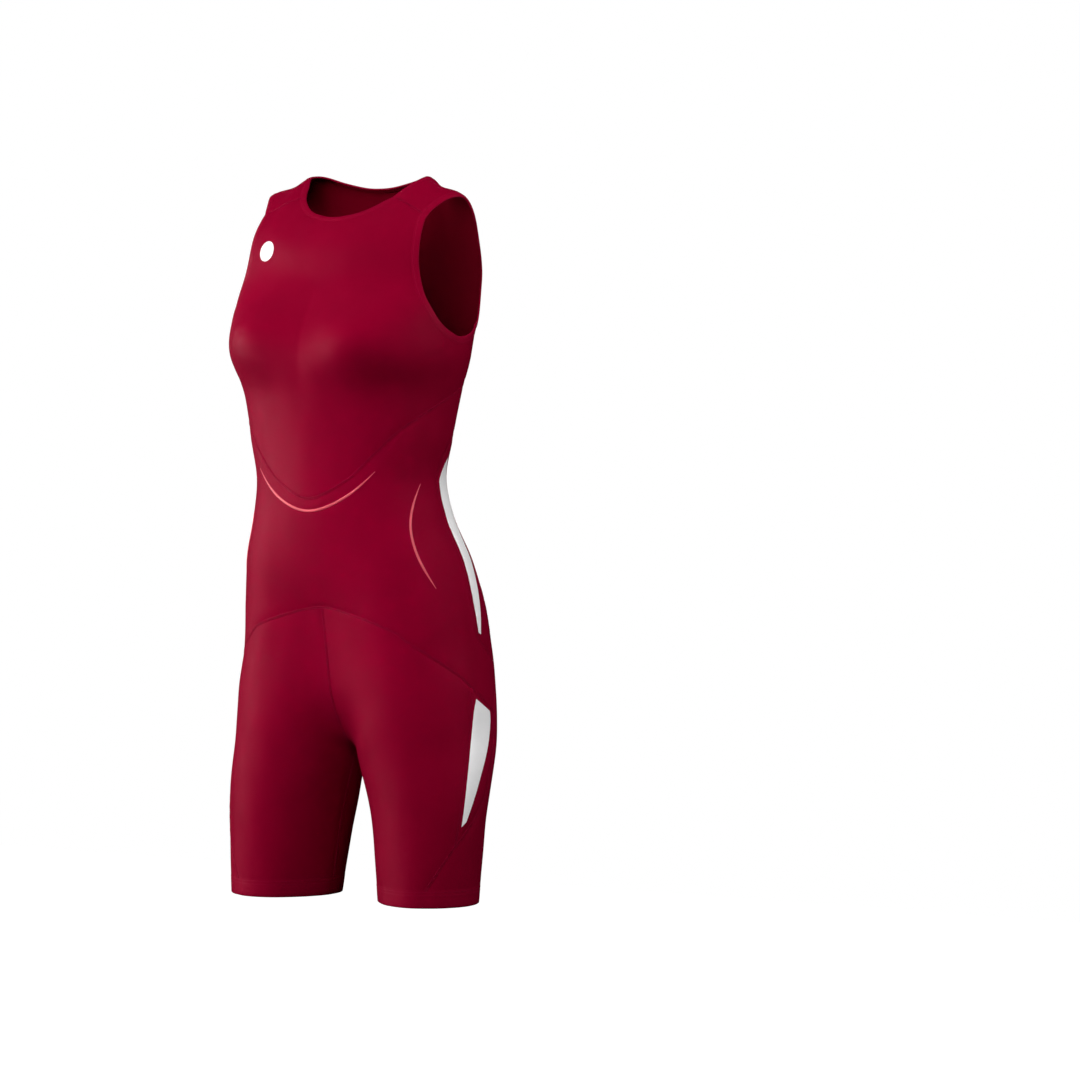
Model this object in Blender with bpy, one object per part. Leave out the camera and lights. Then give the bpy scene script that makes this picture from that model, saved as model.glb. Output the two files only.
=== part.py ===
"""A women's-cut wrestling singlet in stretch cloth, filled out and hollow.

The garment's form is a body of smooth sections, from the shoulders to mid thigh. Seams are
curves on that form, panels are grids of cloth spread between the seams, and every panel is
given its wall and pulled back a hair from its seams, so each cut piece is its own solid.

Units: the tables are in millimetres and degrees, the model in metres. +Z is up, the front
faces -Y, the wearer's left is +X. The origin lies midway between the tops of the shoulders,
where the wearer holds the garment up.
"""

import math

import bmesh
import bpy
import numpy as np

MM = 0.001

# ---- Driving dimensions ----
WALL = 1.5 * MM             # stretch cloth with its seam allowance
SEAM_GAP = 0.3 * MM
BINDING_WALL = 2.4 * MM
NECK_BINDING_WIDTH = 7 * MM
ARM_BINDING_WIDTH = 8 * MM
HEM_DEPTH = 20 * MM
HEM_EDGE = -826 * MM        # height of the leg's edge
HEM_WALL = 1.9 * MM
PIPING_WIDTH = 3.0 * MM
PIPING_WALL = 1.4 * MM
FILM_WALL = 0.6 * MM        # bonded film
FILM_LIFT = 0.5 * MM        # between a film or a cord and the panel under it
SQUARENESS = 2.2            # exponent of the oval sections, 2 is an ellipse
CHEST_TOP = -120 * MM       # above this height the sections close over the shoulders
NECK_HALF = 80 * MM
NECK_SOFT = 3 * MM
SHOULDER_DROP = 25 * MM     # the shoulder falls this far beside the neck
SHOULDER_DROP_OVER = 12 * MM
SHOULDER_LEVEL = 0.37       # and levels out again towards its tip
BUST_OUT = 76 * MM
BUST_HEIGHT = -178 * MM
BUST_PROUD = 22 * MM
BUST_WIDE = 50 * MM
BUST_TALL = 42 * MM
BUST_FADE = 60 * MM

# Half sections. Each height has one oval on each side of the middle, and the two blend.
# height, out and back of the oval's centre, half width, depth to the front and to the rear,
# twist in degrees, width of the blend over the middle.
SECTIONS = (
    (20, 100, 7, 82, 26, 54, -20, 80),
    (-60, 62, -12, 89, 77, 57, 9, 80),
    (-120, 54, -14, 94, 87, 70, 8, 80),
    (-165, 43, -12, 96, 113, 65, 7, 80),
    (-205, 42, -32, 95, 104, 90, 0, 80),
    (-250, 40, -32, 85, 98, 84, 0, 75),
    (-300, 38, -36, 79, 88, 78, 0, 70),
    (-345, 37, -38, 71, 84, 78, 0, 70),
    (-390, 40, -33, 75, 88, 82, 0, 70),
    (-440, 50, -21, 81, 94, 88, 0, 70),
    (-490, 60, -9, 79, 98, 94, 0, 68),
    (-540, 68, -3, 76, 98, 94, 0, 88),
    (-590, 76, -5, 76, 94, 90, 0, 92),
    (-630, 82, -11, 75, 86, 84, -10, 58),
    (-670, 86, -17, 76, 75, 75, -30, 14),
    (-720, 91, -21, 74, 66, 66, -45, 10),
    (-780, 94, -26, 68, 60, 60, -45, 8),
    (-840, 96, -30, 63, 56, 56, -45, 8),
    (-900, 100, -34, 60, 54, 54, -45, 8),
)

# ---- Seams of the wearer's left side ----
# On the torso: degrees round from centre front, height.
SMILE = ((0, -364), (28, -343), (44, -315), (58, -287), (73, -268), (88, -254))
SMILE_REAR = ((88, -254), (103, -243), (113, -237), (120, -232))
ARCH = ((0, -489), (22, -496), (42, -511), (51, -526), (64, -547), (76, -566))
ARCH_SIDE = ((76, -566), (83, -580))
ARCH_REAR = ((83, -580), (93, -597), (102, -611))
SIDE_TOP = ((105, -177), (112, -192), (119, -211), (120, -232))
SIDE_ARM = ((120, -232), (122.5, -253), (125, -282))
SIDE_WAIST = ((125, -282), (128, -321), (126, -354), (122, -397))
SIDE_HIP = ((122, -397), (119, -425), (116, -462), (113, -510), (110, -556))
BAND_END = ((110, -556), (107, -584), (102, -611))
WAIST = ((180, -394), (144, -396), (122, -397))
FLANK_FRONT = ((94, -343), (96, -385), (95, -436), (93, -490), (93, -525))
FLANK_TOP = ((94, -343), (101, -312), (110, -297), (118, -289), (125, -282))
FLANK_FOOT = ((93, -525), (102, -543), (110, -556))
ARM_ROOT = ((88, -254), (90, -298), (94, -343))
BAND_ROOT = ((76, -566), (84, -547), (93, -525))
# On the leg: degrees round from the leg's front, height.
THIGH_FRONT = ((76, -581), (70, -640), (62, -702), (56, -757))
THIGH_FOOT = ((56, -757), (72, -734), (93, -703))
THIGH_REAR = ((93, -703), (105, -655), (114, -611))
KNEE_SEAM = ((56, -757), (38, -788), (28, -806))
INSEAM = ((-90, -652), (-90, -675), (-90, -740), (-90, -806))
HEM_FRONT = ((-90, -806), (-50, -806), (-10, -806), (28, -806))
HEM_REAR = ((28, -806), (90, -806), (150, -806), (210, -806), (270, -806))
# In space: out, back, height.
NECK_EDGE = (
    (0, -76, -49), (24, -71, -46), (40, -63, -39), (56, -45, -28), (66, -24, -14),
    (75, 0, 0), (61, 12, -4), (40, 18, -9), (0, 21, -13),
)
ARMHOLE_EDGE = (
    (132, -3, -24), (120, -22, -29), (109, -46, -45), (107, -60, -65), (111, -74, -94),
    (118, -80, -120), (125, -78, -144), (132, -62, -168), (137, -30, -182), (136, 0, -177),
    (130, 26, -157), (127, 36, -120), (130, 27, -80), (134, 9, -46),
)
ARMHOLE_TURN = (131, -70, -172)    # where the armhole turns to run back under the arm
SHOULDER_SEAM = ((58, -42, -26), (82, -47, -37), (105, -50, -47))
CHEST_DOT = (-79, -87, -88)
BACK_TAB = (0, 44, -49)

# Cords on the torso, degrees round and height.
UNDER_BUST_CORD = ((0, -381), (27, -363), (37, -350), (46, -333))
HIP_CORD = ((77, -348), (65, -382), (62.5, -410), (63, -435), (69, -466))
# Films on the side panels: share of the panel's height from its foot, and the shares of its
# width from the front edge where the film begins and ends.
UPPER_FILM = (
    (0.04, 0.07, 0.16), (0.20, 0.06, 0.34), (0.40, 0.06, 0.48), (0.60, 0.06, 0.56),
    (0.80, 0.07, 0.56), (0.94, 0.12, 0.48),
)
LOWER_FILM = (
    (0.10, 0.09, 0.22), (0.30, 0.08, 0.44), (0.50, 0.08, 0.60), (0.70, 0.08, 0.72),
    (0.86, 0.09, 0.76), (0.95, 0.14, 0.72),
)
DOT_RADIUS = 12 * MM
TAB_HALF = 16 * MM
TAB_WIDTH = 5 * MM

# ---- Cells along the seams ----
CELLS = {
    "neck_front": 8, "neck_side": 3, "neck_back": 7, "shoulder": 5,
    "armhole_front": 7, "armhole_under": 5, "armhole_back": 9, "side_top": 4, "side_arm": 3,
    "side_waist": 5, "side_hip": 6, "band_end": 3, "smile": 8, "smile_rear": 5,
    "arch": 8, "arch_side": 1, "arch_rear": 4, "crotch": 7, "inseam": 7, "thigh": 11,
    "thigh_foot": 4, "knee": 3,
}
CORD_CELL = 7 * MM


# ---- The form ----
def section_table(rows):
    """Function from heights to section values, smooth through the rows."""
    table = np.array(sorted(rows), float)
    heights = table[:, 0] * MM
    values = table[:, 1:]
    slopes = np.gradient(values, heights, axis=0)

    def at(height):
        height = np.clip(height, heights[0], heights[-1])
        low = np.clip(np.searchsorted(heights, height) - 1, 0, len(heights) - 2)
        span = (heights[low + 1] - heights[low])[..., None]
        t = (height[..., None] - heights[low][..., None]) / span
        ends = values[low] * (2 * t**3 - 3 * t**2 + 1) + values[low + 1] * (3 * t**2 - 2 * t**3)
        bends = slopes[low] * (t**3 - 2 * t**2 + t) + slopes[low + 1] * (t**3 - t**2)
        return ends + span * bends

    return at


section_at = section_table(SECTIONS)


def shoulder_height(x):
    """Height of the shoulder's crest at a distance from the middle."""
    out = NECK_SOFT * np.log1p(np.exp((np.abs(x) - NECK_HALF) / NECK_SOFT))
    return -SHOULDER_DROP * (1 - np.exp(-out / SHOULDER_DROP_OVER)) + SHOULDER_LEVEL * out


def oval(x, y, z):
    """How far outside one side's oval a point lies, and the blend there."""
    out, back, wide, front, rear, twist, blend = np.moveaxis(section_at(z), -1, 0)
    turn = np.radians(twist)
    dx = x - out * MM
    dy = y - back * MM
    across = dx * np.cos(turn) + dy * np.sin(turn)
    along = dy * np.cos(turn) - dx * np.sin(turn)
    deep = np.where(along < 0, front, rear) * MM
    wide = wide * MM
    rise = np.clip((z - CHEST_TOP) / (shoulder_height(x) - CHEST_TOP), 0, None)
    power = SQUARENESS
    ratio = (np.abs(across) / wide) ** power + (np.abs(along) / deep) ** power + rise**power
    return (ratio ** (1 / power) - 1) * (wide + deep) / 2, blend * MM


def bust(x, y, z):
    """Fullness that the bust adds on the front of each side."""
    aside = (np.abs(x) - BUST_OUT) / BUST_WIDE
    above = (z - BUST_HEIGHT) / BUST_TALL
    facing = np.clip(-(y + 0.038) / BUST_FADE, 0, 1)
    return BUST_PROUD * np.exp(-(aside**2) - above**2) * facing


def outside(points):
    """Near distance to the form: negative inside it, positive outside."""
    x, y, z = points[..., 0], points[..., 1], points[..., 2]
    left, blend = oval(x, y, z)
    right, _ = oval(-x, y, z)
    meet = np.clip(1 - np.abs(left - right) / blend, 0, None)
    return np.minimum(left, right) - meet**2 * blend / 4 - bust(x, y, z)


def uphill(points, step=1e-5):
    """Gradient of the near distance."""
    found = np.empty_like(points)
    for axis in range(3):
        move = np.zeros(3)
        move[axis] = step
        found[..., axis] = (outside(points + move) - outside(points - move)) / (2 * step)
    return found


def settle(points, rounds=10):
    """Drop points onto the form, each along the form's own slope."""
    points = np.array(points, float)
    for _ in range(rounds):
        slope = uphill(points)
        size = np.maximum((slope**2).sum(-1), 0.2)
        step = np.clip(outside(points) / size, -0.02, 0.02)
        points -= slope * step[..., None]
    return points


def normals_at(points):
    slope = uphill(points)
    return slope / np.linalg.norm(slope, axis=-1, keepdims=True)


# ---- Curves on the form ----
def spline(points, samples_per_span=24, before=None):
    """Smooth dense curve through points, as if it came from the point before, if one is given."""
    points = np.asarray(points, float)
    if before is None:
        before = 2 * points[0] - points[1]
    ends = np.vstack([before, points, 2 * points[-1] - points[-2]])
    dense = []
    for k in range(1, len(ends) - 2):
        a, b, c, d = ends[k - 1 : k + 3]
        t = np.linspace(0, 1, samples_per_span, endpoint=False)[:, None]
        dense.append(0.5 * (2 * b + (c - a) * t + (2 * a - 5 * b + 4 * c - d) * t**2
                            + (3 * b - a - 3 * c + d) * t**3))
    return np.vstack(dense + [points[-1:]])


def spaced(curve, cells):
    """The same curve with evenly spaced points."""
    lengths = np.concatenate([[0], np.cumsum(np.linalg.norm(np.diff(curve, axis=0), axis=1))])
    stations = np.linspace(0, lengths[-1], cells + 1)
    return np.stack([np.interp(stations, lengths, curve[:, k]) for k in range(3)], axis=1)


def cast(round_deg, height, on_leg):
    """Point on the form, seen from its axis at a height in a direction round it."""
    section = section_at(height)
    axis = np.stack([section[..., 0] * MM * on_leg, section[..., 1] * MM, height], axis=-1)
    angle = np.radians(round_deg)
    ray = np.stack([np.sin(angle), -np.cos(angle), 0 * angle], axis=-1)
    to_middle = axis[:, 0] / np.maximum(-ray[:, 0], 1e-9)
    near = np.zeros(len(height))
    far = np.where((ray[:, 0] < -1e-9) & (on_leg > 0), to_middle, 0.3)
    for _ in range(40):
        middle = (near + far) / 2
        inside = outside(axis + ray * middle[:, None]) < 0
        near = np.where(inside, middle, near)
        far = np.where(inside, far, middle)
    return axis + ray * near[:, None]


def turned_curve(rows, on_leg=False):
    """Dense curve on the form through rows of degrees round and height.

    A curve that starts in the middle plane starts level there.
    """
    flat = np.column_stack([np.array(rows, float), np.zeros(len(rows))])
    before = None
    if rows[0][0] in (0, 180):
        before = np.array([2 * rows[0][0] - rows[1][0], rows[1][1], 0.0])
    dense = spline(flat, before=before)
    return cast(dense[:, 0], dense[:, 1] * MM, float(on_leg))


def pinned(curve, start, end):
    """A curve on the form, eased so that it runs exactly between two corners."""
    along = np.linspace(0, 1, len(curve))[:, None]
    curve = curve + (start - curve[0]) * (1 - along)
    curve = settle(curve + (end - curve[-1]) * along)
    curve[0], curve[-1] = start, end
    return curve


def seam(rows, cells, start, end, on_leg=False):
    """Seam through rows of degrees round and height, as evenly spaced points."""
    return spaced(pinned(turned_curve(rows, on_leg), start, end), cells)


def space_seam(points, cells, start, end):
    """Seam past points in space, as evenly spaced points."""
    return spaced(pinned(settle(spline(points)), start, end), cells)


def middle_seam(start, end, cells):
    """Seam in the middle plane between two points of the form."""
    return space_seam(np.linspace(start, end, 9), cells, start, end) * (0, 1, 1)


def crotch_point():
    """Lowest point of the middle plane's edge, where the two legs part."""
    depth = np.linspace(-0.08, 0.08, 321)
    low, high = -0.70, -0.60
    for _ in range(40):
        height = (low + high) / 2
        line = np.stack([0 * depth, depth, 0 * depth + height], axis=-1)
        values = outside(line)
        if values.min() < 0:
            high = height
        else:
            low = height
    return line[np.argmin(values)]


def centre_seam(top, crotch, cells):
    """Centre-front or centre-back seam: down the middle plane and under to the crotch."""
    heights = np.linspace(top[2], crotch[2], 200)[:-1]
    towards = math.copysign(1, top[1] - crotch[1])
    near, far = np.full(len(heights), crotch[1]), np.full(len(heights), towards * 0.3)
    for _ in range(40):
        middle = (near + far) / 2
        inside = outside(np.stack([0 * heights, middle, heights], axis=-1)) < 0
        near = np.where(inside, middle, near)
        far = np.where(inside, far, middle)
    curve = np.vstack([np.stack([0 * heights, near, heights], axis=-1), crotch])
    return spaced(curve, cells)


def join(*curves):
    """Curves end to end, their shared points once."""
    return np.vstack([curves[0]] + [curve[1:] for curve in curves[1:]])


# ---- Panels ----
def spread(foot, top, left, right, rounds=40):
    """Grid of cloth between four curves, laid on the form. Rows run from foot to top."""
    u = np.linspace(0, 1, len(foot))[None, :, None]
    v = np.linspace(0, 1, len(left))[:, None, None]
    sides = left[:, None] * (1 - u) + right[:, None] * u
    ends = foot[None] * (1 - v) + top[None] * v
    corners = ((foot[0] * (1 - u) + foot[-1] * u) * (1 - v)
               + (top[0] * (1 - u) + top[-1] * u) * v)
    grid = sides + ends - corners
    for _ in range(rounds):
        inner = settle(grid[1:-1, 1:-1], 2)
        grid[1:-1, 1:-1] = inner
        around = (grid[:-2, 1:-1] + grid[2:, 1:-1] + grid[1:-1, :-2] + grid[1:-1, 2:]) / 4
        grid[1:-1, 1:-1] = (inner + around) / 2
    grid[1:-1, 1:-1] = settle(grid[1:-1, 1:-1])
    return grid


def mirrored(grid):
    return grid[:, ::-1] * np.array([-1.0, 1.0, 1.0])


def weld(blocks):
    """Vertices and quads of several grids, with shared points made one."""
    points, faces = [], []
    for grid in blocks:
        rows, columns = grid.shape[:2]
        first = sum(len(p) for p in points)
        number = first + np.arange(rows * columns).reshape(rows, columns)
        points.append(grid.reshape(-1, 3))
        quads = np.stack([number[:-1, :-1], number[:-1, 1:], number[1:, 1:], number[1:, :-1]], -1)
        faces.append(quads.reshape(-1, 4))
    points, faces = np.vstack(points), np.vstack(faces)
    _, first, same = np.unique(np.round(points / 1e-7).astype(np.int64), axis=0,
                               return_index=True, return_inverse=True)
    return points[first], same.reshape(-1)[faces]


def halved(points, quads):
    """Triangles of the quads, each quad cut along its shorter diagonal."""
    a, b, c, d = quads.T
    rising = np.linalg.norm(points[a] - points[c], axis=1)
    falling = np.linalg.norm(points[b] - points[d], axis=1)
    short = (rising <= falling)[:, None]
    first = np.where(short, np.stack([a, b, c], 1), np.stack([a, b, d], 1))
    second = np.where(short, np.stack([a, c, d], 1), np.stack([b, c, d], 1))
    return np.vstack([first, second])


def boundary_loops(faces):
    """Next point along the open edge, for each point on it."""
    edges = np.vstack([faces[:, [k, (k + 1) % 4]] for k in range(4)])
    known = {(int(a), int(b)) for a, b in edges}
    return {a: b for a, b in known if (b, a) not in known}


def pull_back(points, following, normals, distance):
    """Move the points of the open edge into the cloth, square to the edge."""
    moved = points.copy()
    before = {b: a for a, b in following.items()}
    for here, ahead in following.items():
        behind = before[here]
        along = [points[here] - points[behind], points[ahead] - points[here]]
        inward = [np.cross(normals[here], d) for d in along]
        inward = [d / np.linalg.norm(d) for d in inward]
        mitre = inward[0] + inward[1]
        moved[here] = points[here] + mitre * distance / (1 + inward[0] @ inward[1])
    return moved


def mesh_object(name, points, faces, material):
    mesh = bpy.data.meshes.new(name)
    mesh.from_pydata([tuple(p) for p in points], [], [tuple(int(i) for i in f) for f in faces])
    mesh.validate()
    mesh.update()
    solid = bpy.data.objects.new(name, mesh)
    bpy.context.scene.collection.objects.link(solid)
    mesh.materials.append(material)
    mesh.shade_smooth()
    mesh.set_sharp_from_angle(angle=math.radians(50))
    return solid


def cloth(name, blocks, material, wall=WALL, lift=0.0):
    """Closed solid from grids on the form: outer face, inner face and the cut edge."""
    points, quads = weld(blocks)
    following = boundary_loops(quads)
    faces = halved(points, quads)
    normals = normals_at(points)
    points = pull_back(points, following, normals, SEAM_GAP / 2)
    outer = points + normals * lift
    inner = outer - normals * wall
    count = len(points)
    rim = [(b, a, a + count, b + count) for a, b in following.items()]
    back = faces[:, ::-1] + count
    return mesh_object(name, np.vstack([outer, inner]), [*faces, *back, *rim], material)


def both_sides(name, blocks, material, **sizes):
    """The same piece for the wearer's left and right."""
    left = cloth(name + "_l", blocks, material, **sizes)
    right = cloth(name + "_r", [mirrored(grid) for grid in blocks], material, **sizes)
    return left, right


# ---- Narrow pieces ----
def aside(curve, normals, closed=False):
    """Direction in the cloth, square to a curve, to its left when seen from outside."""
    if closed:
        along = np.roll(curve, -1, axis=0) - np.roll(curve, 1, axis=0)
    else:
        along = np.gradient(curve, axis=0)
    across = np.cross(normals, along)
    return across / np.linalg.norm(across, axis=1, keepdims=True)


def closed_spline(points, samples_per_span=24):
    """Smooth dense loop through points, on the form."""
    points = np.asarray(points, float)
    around = np.vstack([points[-2:], points, points[:3]])
    dense = spline(around, samples_per_span)
    return settle(dense[2 * samples_per_span : -2 * samples_per_span - 1])


def edge_and_seam(points, width):
    """Loop of an opening's edge, and the loop of the seam that its binding makes."""
    edge = closed_spline(points)
    return edge, settle(edge - aside(edge, normals_at(edge), closed=True) * width)


def nearest(curve, point):
    return int(np.argmin(np.linalg.norm(curve - point, axis=1)))


def binding(name, edge, seam_line, material):
    """Edge band folded over an opening: a rounded strip swept round its closed loop."""
    at_seam, at_edge = normals_at(seam_line), normals_at(edge)
    across = edge - seam_line
    width = np.linalg.norm(across, axis=1, keepdims=True)
    gap = SEAM_GAP / 2 / width
    proud = (BINDING_WALL - WALL) / 2
    deep = proud - BINDING_WALL
    profile = ((gap, 0.8 * deep), (gap, 0.4 * proud), (0.2, proud), (0.75, proud),
               (1.0, 0.0), (1.0, 0.8 * deep), (0.75, deep), (0.2, deep))
    rings = []
    for share, height in profile:
        upward = at_seam * (1 - share) + at_edge * share
        rings.append(seam_line + across * share + upward * height)
    return closed_tube(name, np.stack(rings, axis=1), material)


def closed_tube(name, grid, material):
    """Ring-shaped solid from a grid of sections that closes both ways."""
    rows, columns = grid.shape[:2]
    number = np.arange(rows * columns).reshape(rows, columns)
    ahead = np.roll(number, -1, axis=0)
    quads = np.stack([number, ahead, np.roll(ahead, -1, axis=1), np.roll(number, -1, axis=1)], -1)
    solid = mesh_object(name, grid.reshape(-1, 3), quads.reshape(-1, 4), material)
    shape = bmesh.new()
    shape.from_mesh(solid.data)
    bmesh.ops.recalc_face_normals(shape, faces=shape.faces)
    shape.to_mesh(solid.data)
    shape.free()
    return solid


def strip(curve, width):
    """Grid of a narrow strip laid along a curve of the form."""
    across = aside(curve, normals_at(curve))
    shares = np.array([-0.5, 0.0, 0.5])
    grid = curve[:, None] - across[:, None] * (shares * width)[None, :, None]
    return settle(grid)[::-1] if upside(grid) else settle(grid)


def upside(grid):
    """Whether a grid's rows and columns turn so that its faces look inwards."""
    corner = grid[0, 0]
    face = np.cross(grid[0, 1] - corner, grid[1, 0] - corner)
    return face @ normals_at(corner[None])[0] < 0


def cord(rows):
    """Curve of a cord from its rows of degrees round and height."""
    curve = turned_curve(rows)
    length = np.linalg.norm(np.diff(curve, axis=0), axis=1).sum()
    return spaced(curve, round(length / CORD_CELL))


def film(panel, rows, up_cells, across_cells):
    """Grid of a film that lies on a panel, from its outline as shares of the panel."""
    outline = spline(np.array(rows, float), 12)
    shares = np.linspace(outline[0, 0], outline[-1, 0], up_cells + 1)
    starts = np.interp(shares, outline[:, 0], outline[:, 1])
    ends = np.interp(shares, outline[:, 0], outline[:, 2])
    up = shares[:, None] * (panel.shape[0] - 1) * np.ones(across_cells + 1)
    steps = np.linspace(0, 1, across_cells + 1)
    across = (starts[:, None] * (1 - steps) + ends[:, None] * steps) * (panel.shape[1] - 1)
    row, column = up.astype(int), across.astype(int)
    v, u = (up - row)[..., None], (across - column)[..., None]
    a, b = panel[row, column], panel[row, column + 1]
    c, d = panel[row + 1, column + 1], panel[row + 1, column]
    rising = np.where(u >= v, a + (b - a) * u + (c - b) * v, a + (c - d) * u + (d - a) * v)
    falling = np.where(u + v <= 1, a + (b - a) * u + (d - a) * v,
                       c + (d - c) * (1 - u) + (b - c) * (1 - v))
    short = np.linalg.norm(a - c, axis=-1) <= np.linalg.norm(b - d, axis=-1)
    return np.where(short[..., None], rising, falling)


def disc(centre, radius, cells=4):
    """Round grid on the form about a point."""
    centre = settle(np.array(centre, float) * MM)
    normal = normals_at(centre[None])[0]
    level = np.cross((0, 0, 1), normal)
    level /= np.linalg.norm(level)
    rise = np.cross(normal, level)
    side = np.linspace(-1, 1, cells + 1)
    a, b = np.meshgrid(side, side)
    a, b = a * np.sqrt(1 - b**2 / 2), b * np.sqrt(1 - a**2 / 2)
    flat = a[..., None] * level + b[..., None] * rise
    return settle(centre + flat * radius)


# ---- The garment ----
def corners():
    """Points where seams meet, on the wearer's left."""
    torso = {"smile_middle": SMILE[0], "arm_root": SMILE[-1], "side_smile": SMILE_REAR[-1],
             "flank_rear_top": SIDE_ARM[-1], "side_waist": SIDE_WAIST[-1], "waist": WAIST[0],
             "flank_front_top": FLANK_TOP[0], "flank_front_foot": FLANK_FOOT[0],
             "flank_rear_foot": FLANK_FOOT[-1], "arch_middle": ARCH[0], "band_root": ARCH[-1],
             "thigh_top": ARCH_SIDE[-1], "thigh_rear_top": ARCH_REAR[-1]}
    leg = {"thigh_foot": THIGH_FOOT[0], "thigh_rear_foot": THIGH_FOOT[-1],
           "hem_seam": KNEE_SEAM[-1], "hem_inside": INSEAM[-1]}
    found = {}
    for rows, on_leg in ((torso, 0.0), (leg, 1.0)):
        for name, (turn, height) in rows.items():
            found[name] = cast(np.array([turn * 1.0]), np.array([height * MM]), on_leg)[0]
    for name in ("smile_middle", "waist", "arch_middle"):
        found[name][0] = 0.0
    found["crotch"] = crotch_point()
    return found


def neck_lines(at):
    """Neck edge and seam of the left side: front, shoulder side, back. Adds its corners."""
    half = np.array(NECK_EDGE, float) * MM
    loop = np.vstack([half, half[-2:0:-1] * (-1, 1, 1)])
    edge, seam_line = edge_and_seam(loop, NECK_BINDING_WIDTH)
    end = (len(NECK_EDGE) - 1) * 24
    edge, seam_line = edge[: end + 1], seam_line[: end + 1]
    for curve in (edge, seam_line):
        curve[[0, -1], 0] = 0.0
    forward = nearest(seam_line, np.array(SHOULDER_SEAM[0]) * MM)
    ridge = nearest(seam_line, np.array((82, 0, -5)) * MM)
    parts = (("neck_front", 0, forward), ("neck_side", forward, ridge),
             ("neck_back", ridge, end))
    at["neck_forward"], at["neck_ridge"] = seam_line[forward], seam_line[ridge]
    at["neck_middle"], at["neck_back_middle"] = seam_line[0], seam_line[-1]
    return {name: (spaced(seam_line[a : b + 1], CELLS[name]),
                   spaced(edge[a : b + 1], CELLS[name])) for name, a, b in parts}


def arm_lines(at):
    """Left armhole's edge and seam: shoulder, front and back runs. Adds its corners."""
    edge, seam_line = edge_and_seam(np.array(ARMHOLE_EDGE, float) * MM, ARM_BINDING_WIDTH)
    edge, seam_line = np.vstack([edge, edge[:1]]), np.vstack([seam_line, seam_line[:1]])
    forward = nearest(seam_line, np.array(SHOULDER_SEAM[-1]) * MM)
    start = cast(np.array([SIDE_TOP[0][0] * 1.0]), np.array([SIDE_TOP[0][1] * MM]), 0.0)[0]
    bottom = nearest(seam_line, start)
    under = nearest(seam_line, np.array(ARMHOLE_TURN) * MM)
    parts = (("neck_side", 0, forward), ("armhole_front", forward, under),
             ("armhole_under", under, bottom), ("armhole_back", bottom, len(edge) - 1))
    at["arm_ridge"], at["arm_forward"] = seam_line[0], seam_line[forward]
    at["arm_turn"], at["arm_bottom"] = seam_line[under], seam_line[bottom]
    return {name: (spaced(seam_line[a : b + 1], CELLS[name]),
                   spaced(edge[a : b + 1], CELLS[name])) for name, a, b in parts}


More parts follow.
